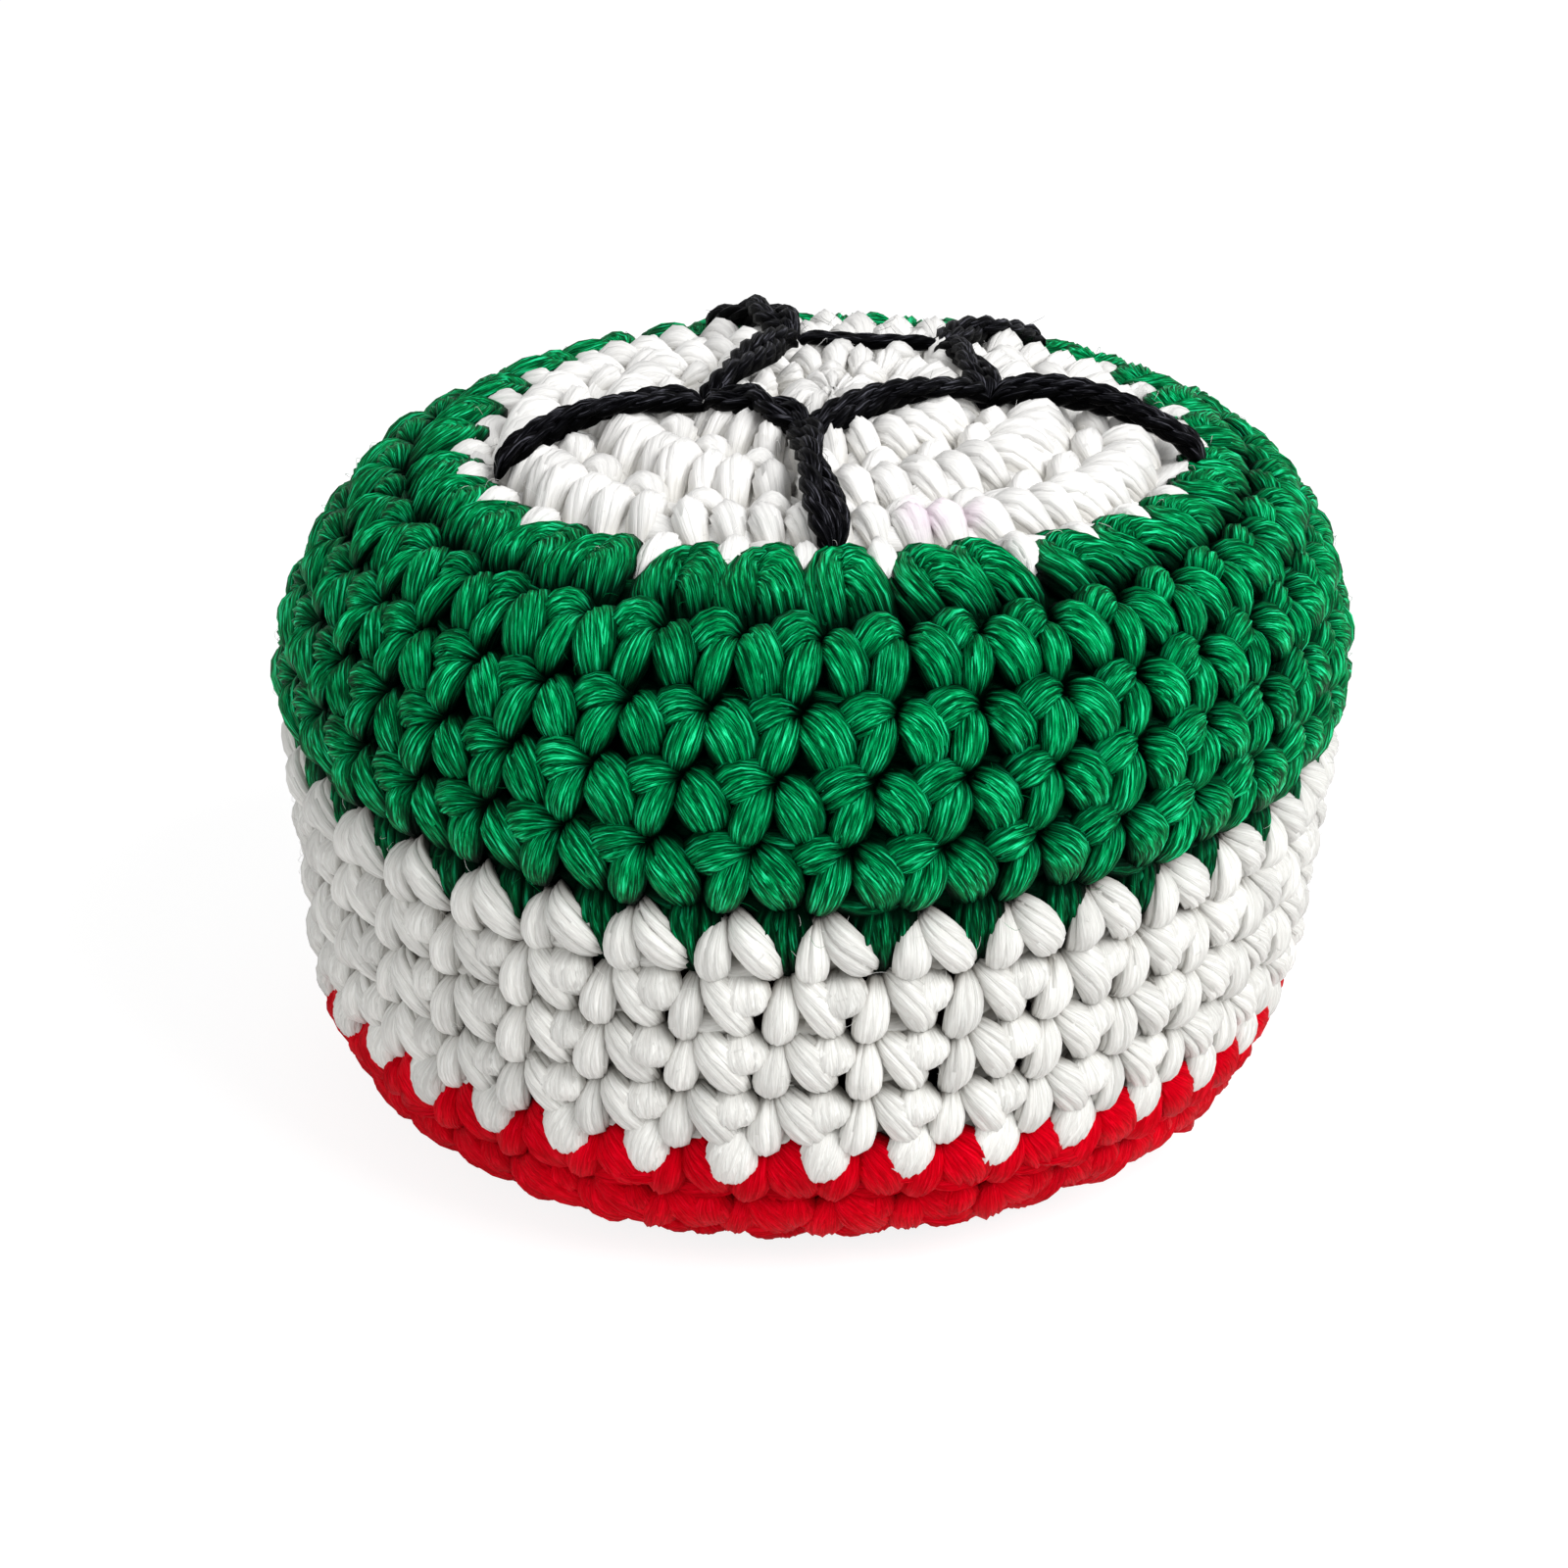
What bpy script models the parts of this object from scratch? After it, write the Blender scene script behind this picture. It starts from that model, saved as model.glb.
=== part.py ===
"""A crocheted footbag: a soft round bag worked in rounds of cotton yarn.

The shell is four yarns joined one after the other, each worked round and round:
a white crown, a green band, a white band and a red base. Where one colour hands
over to the next, the last loops of the upper yarn hang as teeth between the
stitches of the lower one. A pentagon with five rays is sewn on the crown in black
yarn. Inside the shell lies a small sewn pouch full of plastic pellets.

Everything follows one outline, the side view of half the bag, measured along its
curve from the middle of the crown to the middle of the base. The bag rests on
z = 0, its axis is the z axis, and turns are counted from the front, -y, to the
right, +x.
"""

import math

import bmesh
import bpy
from mathutils import Vector

MM = 0.001

# The outline: a low dome, a round shoulder, a side that draws in, and a flat base.
WIDEST_RADIUS = 30.0 * MM
WIDEST_HEIGHT = 26.5 * MM
SHOULDER_REACH = 9.4 * MM
SHOULDER_RISE = 12.5 * MM
CROWN_RISE = 3.4 * MM
BASE_INSET = 13.2 * MM
SIDE_DROP = 10.1 * MM
SIDE_LEAN = 2.0 * MM
BASE_CURVE_REACH = 14.9 * MM

# The crown's, the green and the white yarn, as shares of the outline's whole length.
# The base takes what is left.
YARN_SHARES = (0.2326, 0.2461, 0.1558)

# The stitches in each round of each yarn.
CROWN_STITCH_COUNTS = (6, 12, 18, 24)
GREEN_STITCH_COUNTS = (30, 36, 36, 36, 36)
WHITE_STITCH_COUNTS = (36, 36, 36, 36)
BASE_STITCH_COUNTS = (36, 36, 30, 24, 18, 12, 6)

# One stitch, as depths below the outline. A hole lies at the top of each stitch, a
# groove runs between the rounds, and a crease between the plump stitches.
SHELL_WALL = 3.4 * MM
HOLE_DEPTH = 2.0 * MM
GROOVE_DEPTH = 1.15 * MM
CREASE_DEPTH = 0.9 * MM
RIDGE_DROP = 0.1 * MM
TOOTH_DEPTH = 0.3 * MM
CLOSING_RADIUS = 3.2 * MM

# Where the upper and lower line of a stitch lie in its round, and how far each is
# turned from the hole above, in stitches. Each round starts a little further left.
BELLY_HEIGHT_SHARES = (0.32, 0.7)
BELLY_TURN_SHARES = (0.04, 0.16)
ROUND_SHIFT_SHARE = -0.25
TOOTH_SHARE = 0.34

# Clearances between pieces that touch on the real bag.
JOIN_GAP = 0.62 * MM
YARN_GAP = 0.3 * MM
LINER_GAP = 0.4 * MM

# The black stitches: two plies twisted together and pressed a little flat.
STRAND_RADIUS = 0.95 * MM
STRAND_FLAT_SHARE = 0.8
STRAND_PLY_SHARE = 0.14
STRAND_PLIES = 2
STRAND_LAY = 6.0 * MM
STRAND_STEP = 1.1 * MM
STRAND_SIDES = 8
STRAND_TIP_SHARE = 0.7

# The motif, by turns in degrees and as shares of the crown's length along the
# outline. The first corner is the one at the front, and the others follow to the right.
PENTAGON_SHARE = 0.447
CORNER_TURNS = (-5.0, 82.0, 141.0, 199.0, 290.0)
CORNER_SHARES = (0.84, 0.98, 1.12, 1.12, 0.84)
RAY_TURNS = (0.0, 81.0, 144.0, 198.0, 290.0)
RAY_SHARES = (0.88, 0.99, 0.98, 0.98, 0.9)

# The pouch: two sewn halves, the thread of their seam, and the pellets inside.
LINER_WALL = 0.6 * MM
SEAM_HEIGHT = 21.0 * MM
SEAM_RADIUS = 0.4 * MM
SEAM_WAVE = 0.25 * MM
SEAM_STITCHES = 24
SEAM_SIDES = 5
PELLET_RELIEF = 0.7 * MM

INNER_COLUMNS = 24
CURVE_STEPS = 40

YARN_ROUGHNESS = 0.75
SHARP_ANGLE = math.radians(70.0)
COLOURS = {
    "white_yarn": (0.84, 0.84, 0.81),
    "green_yarn": (0.0, 0.27, 0.09),
    "red_yarn": (0.56, 0.0, 0.02),
    "black_yarn": (0.01, 0.01, 0.012),
    "liner_cloth": (0.06, 0.025, 0.02),
    "liner_thread": (0.1, 0.05, 0.04),
    "pellets": (0.5, 0.48, 0.44),
}


class Outline:
    """The side view of half the bag, read by the length along its curve."""

    def __init__(self):
        self.points = self.trace()
        self.lengths = [0.0]
        for before, after in zip(self.points, self.points[1:]):
            self.lengths.append(self.lengths[-1] + (after - before).length)
        self.total = self.lengths[-1]
        self.height = self.points[0].y

    @staticmethod
    def trace():
        """Return the outline's points as (radius, height), from crown to base."""
        crown_radius = WIDEST_RADIUS - SHOULDER_REACH
        shoulder_height = WIDEST_HEIGHT + SHOULDER_RISE
        base_radius = WIDEST_RADIUS - BASE_INSET
        parts = [i / CURVE_STEPS for i in range(CURVE_STEPS)]
        dome = [
            Vector((crown_radius * part, shoulder_height + CROWN_RISE * (1 - part * part)))
            for part in parts
        ]
        shoulder = [
            Vector((
                crown_radius + SHOULDER_REACH * math.sin(0.5 * math.pi * part),
                WIDEST_HEIGHT + SHOULDER_RISE * math.cos(0.5 * math.pi * part),
            ))
            for part in parts
        ]
        side_ends = (
            Vector((WIDEST_RADIUS, WIDEST_HEIGHT)),
            Vector((WIDEST_RADIUS - SIDE_LEAN, WIDEST_HEIGHT - SIDE_DROP)),
            Vector((base_radius + BASE_CURVE_REACH, 0.0)),
            Vector((base_radius, 0.0)),
        )
        side = [bezier(side_ends, part) for part in parts]
        base = [Vector((base_radius * (1 - part), 0.0)) for part in parts]
        return dome + shoulder + side + base + [Vector((0.0, 0.0))]

    def at(self, length):
        """Return the point and the outward normal at a length along the outline."""
        length = min(max(length, 0.0), self.total)
        i = 1
        while i < len(self.lengths) - 1 and self.lengths[i] < length:
            i += 1
        part = (length - self.lengths[i - 1]) / (self.lengths[i] - self.lengths[i - 1])
        before = self.points[max(i - 2, 0)]
        after = self.points[min(i + 1, len(self.points) - 1)]
        along = (after - before).normalized()
        return self.points[i - 1].lerp(self.points[i], part), Vector((-along.y, along.x))

    def ring(self, length, depth, count, turn=0.0):
        """Return a ring of points below the outline.

        length and depth are lengths, or functions of the point's index.
        """
        ring = []
        for i in range(count):
            point, normal = self.at(length(i) if callable(length) else length)
            place = point - normal * (depth(i) if callable(depth) else depth)
            ring.append(on_circle(place.x, turn + 2 * math.pi * i / count, place.y))
        return ring

    def length_at_height(self, height):
        """Return the length along the outline at which the side comes down to a height."""
        for length, point in zip(self.lengths, self.points):
            if point.y <= height:
                return length
        return self.total

    def above_place(self, place, lift):
        """Return the point at a lift above the crown over a place seen from above."""
        radius = place.length
        for length, point in zip(self.lengths, self.points):
            if point.x >= radius:
                break
        point, normal = self.at(length)
        raised = point + normal * lift
        out = place.normalized() if radius > 0 else place
        return Vector((*(out * (radius + raised.x - point.x)), raised.y))


def bezier(ends, part):
    """Return a point of a cubic curve given by two end points and two handles."""
    rest = 1 - part
    weights = (rest ** 3, 3 * rest * rest * part, 3 * rest * part * part, part ** 3)
    return sum((end * weight for end, weight in zip(ends, weights)), Vector((0.0, 0.0)))


def on_circle(radius, turn, height):
    """Return the point at a radius and a turn round the bag's axis."""
    return Vector((radius * math.sin(turn), -radius * math.cos(turn), height))


class Round:
    """One round of crochet: its stitches, its place and where its holes start."""

    def __init__(self, stitches, start, height, turn):
        self.stitches = stitches
        self.start = start
        self.height = height
        self.turn = turn
        self.pitch = 2 * math.pi / stitches

    def groove(self, outline):
        """Return the ring at the round's top: its holes, with the groove between."""
        def depth(i):
            return GROOVE_DEPTH if i % 2 else HOLE_DEPTH
        return outline.ring(self.start, depth, 2 * self.stitches, self.turn)

    def bellies(self, outline):
        """Return the rings across the round's plump stitches, upper and lower."""
        rings = []
        for height_share, turn_share in zip(BELLY_HEIGHT_SHARES, BELLY_TURN_SHARES):
            drop = RIDGE_DROP if not rings else 0.0

            def depth(i, drop=drop):
                return drop if i % 2 else CREASE_DEPTH
            length = self.start + height_share * self.height
            turn = self.turn + turn_share * self.pitch
            rings.append(outline.ring(length, depth, 2 * self.stitches, turn))
        return rings


def lay_rounds(outline):
    """Return the rounds of the four yarns, each round turned a little from the last."""
    shares = (*YARN_SHARES, 1 - sum(YARN_SHARES))
    counts_by_yarn = (
        CROWN_STITCH_COUNTS, GREEN_STITCH_COUNTS, WHITE_STITCH_COUNTS, BASE_STITCH_COUNTS
    )
    start = 0.0
    turn = 0.0
    yarns = []
    for share, counts in zip(shares, counts_by_yarn):
        height = share * outline.total / len(counts)
        rounds = []
        for stitches in counts:
            rounds.append(Round(stitches, start, height, turn))
            start += height
            turn += ROUND_SHIFT_SHARE * rounds[-1].pitch
        yarns.append(rounds)
    return yarns


def handover(outline, above, below, side, depth):
    """Return one toothed edge of the join between two yarns.

    The last round above hangs one tooth for each of its stitches, and the round
    below stands between them. side is -1 for the edge of the yarn above and 1 for
    that of the yarn below, and the two keep the join's gap. depth is the depth of
    the edge, or None for its outer line, whose teeth stand out.
    """
    tooth = TOOTH_SHARE * min(above.height, below.height)

    def length(i):
        return below.start + (tooth if i % 2 else -tooth) + side * 0.5 * JOIN_GAP

    def relief(i):
        if depth is not None:
            return depth
        return TOOTH_DEPTH if i % 2 else GROOVE_DEPTH
    return outline.ring(length, relief, 2 * above.stitches, below.turn)


def build_yarn(outline, name, colour, rounds, above, below):
    """Build one yarn of the shell: a thick wall with its stitches in relief.

    above and below are the neighbouring rounds. One of them is None where the yarn
    closes in the middle of the crown or of the base.
    """
    outer = []
    inner = []
    if above:
        outer.append(handover(outline, above, rounds[0], 1, None))
        inner.append(handover(outline, above, rounds[0], 1, SHELL_WALL))
    for i, row in enumerate(rounds):
        if i:
            outer.append(row.groove(outline))
            inner.append(outline.ring(row.start, SHELL_WALL, INNER_COLUMNS))
        outer.extend(row.bellies(outline))
    if below:
        outer.append(handover(outline, rounds[-1], below, -1, None))
        inner.append(handover(outline, rounds[-1], below, -1, SHELL_WALL))
    mesh = bmesh.new()
    if above and below:
        loft(mesh, outer + inner[::-1], closed=True)
    elif below:
        laid = loft(mesh, outer + inner[::-1])
        close_ring(mesh, laid[0], outline.height - GROOVE_DEPTH)
        close_ring(mesh, laid[-1], outline.height - SHELL_WALL)
    else:
        closing = outline.total - CLOSING_RADIUS
        outer[-1] = outline.ring(closing, 0.0, 2 * rounds[-1].stitches, rounds[-1].turn)
        laid = loft(mesh, inner[::-1] + outer)
        close_ring(mesh, laid[0], SHELL_WALL)
        close_ring(mesh, laid[-1], 0.0)
    return finish(name, mesh, colour)


def loft(mesh, rings, closed=False):
    """Lay a skin through rings of points, and back to the first if it is closed."""
    laid = [[mesh.verts.new(point) for point in ring] for ring in rings]
    for first, second in zip(laid, laid[1:] + (laid[:1] if closed else [])):
        zip_rings(mesh, first, second)
    return laid


def zip_rings(mesh, first, second):
    """Join two rings of vertices, of any counts, with a band of triangles."""
    first_turns = ring_turns(first, 0.0)
    nearest = min(
        range(len(second)),
        key=lambda i: abs(ring_turns(second[i:i + 1], first_turns[0])[0] - first_turns[0]),
    )
    second = second[nearest:] + second[:nearest]
    second_turns = ring_turns(second, first_turns[0])
    i = j = 0
    while i < len(first) or j < len(second):
        a = first[i % len(first)]
        b = second[j % len(second)]
        along_first = j == len(second) or (
            i < len(first)
            and first_turns[i] + first_turns[i + 1] <= second_turns[j] + second_turns[j + 1]
        )
        if along_first:
            i += 1
            mesh.faces.new((a, b, first[i % len(first)]))
        else:
            j += 1
            mesh.faces.new((a, b, second[j % len(second)]))


def ring_turns(ring, near):
    """Return the turn of each vertex of a ring, rising, and of the first again."""
    turns = []
    for vertex in ring + ring[:1]:
        turn = math.atan2(vertex.co.x, -vertex.co.y)
        reference = turns[-1] if turns else near
        turns.append(turn + 2 * math.pi * round((reference - turn) / (2 * math.pi)))
    return turns


def close_ring(mesh, ring, height):
    """Close a ring with a fan of triangles round a point on the axis."""
    pole = mesh.verts.new((0.0, 0.0, height))
    for before, after in zip(ring, ring[1:] + ring[:1]):
        mesh.faces.new((pole, before, after))


def finish(name, mesh, colour):
    """Turn a closed bmesh into a named object with its own material."""
    bmesh.ops.recalc_face_normals(mesh, faces=mesh.faces)
    data = bpy.data.meshes.new(name)
    mesh.to_mesh(data)
    mesh.free()
    data.shade_smooth()
    data.set_sharp_from_angle(angle=SHARP_ANGLE)
    material = bpy.data.materials.new(name)
    material.use_nodes = True
    shader = material.node_tree.nodes["Principled BSDF"]
    shader.inputs["Base Color"].default_value = (*COLOURS[colour], 1.0)
    shader.inputs["Roughness"].default_value = YARN_ROUGHNESS
    shader.inputs["Metallic"].default_value = 0.0
    data.materials.append(material)
    obj = bpy.data.objects.new(name, data)
    bpy.context.scene.collection.objects.link(obj)
    return obj


def build_strand(outline, name, start, end):
    """Build one black stitch: a twisted strand laid over the crown.

    start and end are places seen from above.
    """
    span = end - start
    steps = max(3, round(span.length / STRAND_STEP))
    lift = YARN_GAP + STRAND_RADIUS * STRAND_FLAT_SHARE * (1 + STRAND_PLY_SHARE)
    centres = [outline.above_place(start + span * (i / steps), lift) for i in range(steps + 1)]
    mesh = bmesh.new()
    rings = []
    for i, centre in enumerate(centres):
        along = (centres[min(i + 1, steps)] - centres[max(i - 1, 0)]).normalized()
        across = along.cross(Vector((0, 0, 1))).normalized()
        up = across.cross(along) * STRAND_FLAT_SHARE
        twist = 2 * math.pi * (i / steps) * span.length / STRAND_LAY
        size = STRAND_RADIUS * (STRAND_TIP_SHARE if i in (0, steps) else 1.0)
        ring = []
        for k in range(STRAND_SIDES):
            angle = 2 * math.pi * k / STRAND_SIDES
            radius = size * (1 + STRAND_PLY_SHARE * math.cos(STRAND_PLIES * angle - twist))
            reach = across * math.cos(angle) + up * math.sin(angle)
            ring.append(mesh.verts.new(centre + reach * radius))
        rings.append(ring)
    for before, after in zip(rings, rings[1:]):
        bridge(mesh, before, after)
    mesh.faces.new(rings[0])
    mesh.faces.new(rings[-1])
    return finish(name, mesh, "black_yarn")


def bridge(mesh, before, after):
    """Join two rings of as many vertices with a band of quads."""
    for k in range(len(before)):
        n = (k + 1) % len(before)
        mesh.faces.new((before[k], before[n], after[n], after[k]))


def motif_places(outline, turns, shares, reach):
    """Return places on the crown, seen from above, at turns and lengths from its middle."""
    places = []
    for turn, share in zip(turns, shares):
        radius = outline.at(reach * share)[0].x
        places.append(on_circle(radius, math.radians(turn), 0.0).xy)
    return places


def build_motif(outline, reach):
    """Build the pentagon's sides and the rays from its corners.

    reach is the crown's length along the outline. The strands at a corner stop short
    of each other by the room their width needs.
    """
    corners = motif_places(outline, CORNER_TURNS, CORNER_SHARES, PENTAGON_SHARE * reach)
    ends = motif_places(outline, RAY_TURNS, RAY_SHARES, reach)
    width = STRAND_RADIUS * (1 + STRAND_PLY_SHARE)
    rooms = []
    for i, corner in enumerate(corners):
        before = corners[i - 1] - corner
        after = corners[(i + 1) % len(corners)] - corner
        half = 0.5 * before.angle(after)
        rooms.append((width * math.cos(half) + 0.5 * YARN_GAP) / math.sin(half))
    for i, corner in enumerate(corners):
        n = (i + 1) % len(corners)
        along = (corners[n] - corner).normalized()
        start = corner + along * rooms[i]
        end = corners[n] - along * rooms[n]
        build_strand(outline, f"pentagon_side_{i + 1}", start, end)
        outward = (ends[i] - corner).normalized()
        build_strand(outline, f"ray_{i + 1}", corner + outward * (YARN_GAP + 0.5 * width), ends[i])


def lining_lengths(yarns):
    """Return the lengths along the outline at which the pouch and pellets have rings.

    They are the starts of every second round, where the shell's inner wall has its
    own rings, so that the pouch lies inside the wall however few its rings are.
    """
    return [row.start for rounds in yarns for row in rounds][2::2]


def build_liner(outline, lengths):
    """Build the pouch's two halves, with room between their rims for the thread."""
    outside = SHELL_WALL + LINER_GAP
    inside = outside + LINER_WALL
    seam = outline.length_at_height(SEAM_HEIGHT)
    room = SEAM_RADIUS + SEAM_WAVE + YARN_GAP
    halves = {
        "liner_upper": ([length for length in lengths if length < seam - 2 * room], seam - room),
        "liner_lower": ([length for length in lengths if length > seam + 2 * room][::-1], seam + room),
    }
    for name, (rows, rim) in halves.items():
        outer, inner = (
            [outline.ring(length, depth, INNER_COLUMNS) for length in rows + [rim]]
            for depth in (outside, inside)
        )
        base = 0.0 if name == "liner_lower" else outline.height
        facing = 1 if name == "liner_lower" else -1
        mesh = bmesh.new()
        laid = loft(mesh, outer + inner[::-1])
        close_ring(mesh, laid[0], base + facing * outside)
        close_ring(mesh, laid[-1], base + facing * inside)
        finish(name, mesh, "liner_cloth")


def build_seam(outline):
    """Build the seam's thread as a ring that rises and falls with its stitches."""
    point, normal = outline.at(outline.length_at_height(SEAM_HEIGHT))
    middle = point - normal * (SHELL_WALL + LINER_GAP + 0.5 * LINER_WALL)
    steps = 2 * SEAM_STITCHES
    mesh = bmesh.new()
    rings = []
    for i in range(steps):
        height = middle.y + (SEAM_WAVE if i % 2 else -SEAM_WAVE)
        ring = []
        for k in range(SEAM_SIDES):
            lean = 2 * math.pi * k / SEAM_SIDES
            radius = middle.x + SEAM_RADIUS * math.cos(lean)
            rise = height + SEAM_RADIUS * math.sin(lean)
            ring.append(mesh.verts.new(on_circle(radius, 2 * math.pi * i / steps, rise)))
        rings.append(ring)
    for before, after in zip(rings, rings[1:] + rings[:1]):
        bridge(mesh, before, after)
    return finish("liner_seam_thread", mesh, "liner_thread")


def build_fill(outline, lengths):
    """Build the pellets as one mass with pebbles all over its surface."""
    inset = SHELL_WALL + LINER_GAP + LINER_WALL + YARN_GAP
    rings = []
    for row, length in enumerate(lengths):
        def depth(i, row=row):
            return inset + (PELLET_RELIEF if (i + row) % 2 else 0.0)
        rings.append(outline.ring(length, depth, INNER_COLUMNS))
    mesh = bmesh.new()
    laid = loft(mesh, rings)
    close_ring(mesh, laid[0], outline.height - inset)
    close_ring(mesh, laid[-1], inset)
    return finish("pellet_fill", mesh, "pellets")


def main():
    """Clear the scene and build the bag."""
    for obj in list(bpy.data.objects):
        bpy.data.objects.remove(obj, do_unlink=True)
    outline = Outline()
    yarns = lay_rounds(outline)
    crown, green, white, base = yarns
    build_yarn(outline, "crown_white", "white_yarn", crown, None, green[0])
    build_yarn(outline, "band_green", "green_yarn", green, crown[-1], white[0])
    build_yarn(outline, "band_white", "white_yarn", white, green[-1], base[0])
    build_yarn(outline, "base_red", "red_yarn", base, white[-1], None)
    build_motif(outline, green[0].start)
    lengths = lining_lengths(yarns)
    build_liner(outline, lengths)
    build_seam(outline)
    build_fill(outline, lengths)


main()
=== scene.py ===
"""The looks of a crocheted footbag: cotton loops, black motif, pouch and pellets.

The shell is built the way crochet shows: every stitch is two legs that come out of
a hole, and the front loop that the stitch above it left there. Each of them is one
plump loop of a plied yarn, laid on the bag's outline. Turns are counted from the
front, -y, to the right, +x, and lengths along the outline from the middle of the
crown.
"""

import logging
import math
from dataclasses import dataclass, field, replace
from enum import Enum

import bmesh
import bpy
import numpy as np
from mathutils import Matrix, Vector


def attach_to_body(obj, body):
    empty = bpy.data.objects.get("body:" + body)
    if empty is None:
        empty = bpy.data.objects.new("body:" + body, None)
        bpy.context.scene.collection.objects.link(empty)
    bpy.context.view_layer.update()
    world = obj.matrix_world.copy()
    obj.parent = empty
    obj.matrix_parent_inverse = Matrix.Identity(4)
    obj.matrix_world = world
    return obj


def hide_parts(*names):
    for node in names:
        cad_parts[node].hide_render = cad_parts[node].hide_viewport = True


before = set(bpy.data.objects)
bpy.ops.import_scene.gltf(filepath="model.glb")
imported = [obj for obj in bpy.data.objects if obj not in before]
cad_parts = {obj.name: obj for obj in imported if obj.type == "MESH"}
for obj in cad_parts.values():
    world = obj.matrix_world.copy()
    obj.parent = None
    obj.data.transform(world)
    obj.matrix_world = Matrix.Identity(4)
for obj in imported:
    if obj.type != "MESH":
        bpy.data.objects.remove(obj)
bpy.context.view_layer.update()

MM = 0.001
PHOTO_SIDE_PX = 1600

# A stitch of full size is this wide, and one unit of the yarn map this long.
FULL_STITCH = 5.1 * MM
UV_UNIT = 10.0 * MM

# The least length to divide by, where two points may fall together.
LEAST_SPAN = 1e-9

log = logging.getLogger("footbag")


def linear(code: str) -> tuple:
    """Turn an sRGB hex colour to linear light.

    Args:
        code: the colour as #RRGGBB.

    Returns:
        The linear red, green, blue and an alpha of one.
    """
    parts = [int(code[i:i + 2], 16) / 255 for i in (1, 3, 5)]
    return (*[p / 12.92 if p <= 0.04045 else ((p + 0.055) / 1.055) ** 2.4 for p in parts], 1.0)


def add_node(tree: bpy.types.NodeTree, kind: str, settings: dict | None = None,
             links: dict | None = None) -> bpy.types.Node:
    """Add a node to a tree.

    Args:
        tree: the node tree.
        kind: the node's type.
        settings: values by the name of a property or input, or by an input's index.
        links: output sockets by the name or index of the input that they feed.

    Returns:
        The new node.
    """
    node = tree.nodes.new(kind)
    for key, value in (settings or {}).items():
        if isinstance(key, str) and hasattr(node, key):
            setattr(node, key, value)
        else:
            node.inputs[key].default_value = value
    for key, source in (links or {}).items():
        tree.links.new(source, node.inputs[key])
    return node


def new_material(name: str) -> tuple:
    """Start a material.

    Args:
        name: the material's name.

    Returns:
        The material, its node tree and its shader.
    """
    material = bpy.data.materials.new(name)
    material.use_nodes = True
    return material, material.node_tree, material.node_tree.nodes["Principled BSDF"]


def new_object(name: str, mesh: bmesh.types.BMesh, material: bpy.types.Material) -> bpy.types.Object:
    """Make an object at the origin and free its mesh.

    Args:
        name: the object's name.
        mesh: its mesh.
        material: its material.

    Returns:
        The object.
    """
    data = bpy.data.meshes.new(name)
    mesh.to_mesh(data)
    mesh.free()
    data.materials.append(material)
    obj = bpy.data.objects.new(name, data)
    bpy.context.scene.collection.objects.link(obj)
    return obj


def curve(points: np.ndarray, t: np.ndarray) -> np.ndarray:
    """Follow the curve that runs from the first to the last of four points.

    Args:
        points: the four points, one to a row.
        t: how far along the curve, from 0 to 1.

    Returns:
        The curve's points, one to a row.
    """
    rest = 1 - t
    weights = np.stack((rest ** 3, 3 * rest ** 2 * t, 3 * rest * t ** 2, t ** 3), axis=-1)
    return weights @ points


def attach(piece: bpy.types.Object, slot: str, *nodes: str) -> None:
    """Tie a piece to the bag's one body.

    Args:
        piece: the finished piece.
        slot: the record's material slot; not used.
        nodes: the nodes that it stands for.
    """
    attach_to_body(piece, "root")
    if nodes:
        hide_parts(*nodes)
    log.info("%s: %d faces", piece.name, len(piece.data.polygons))


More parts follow.
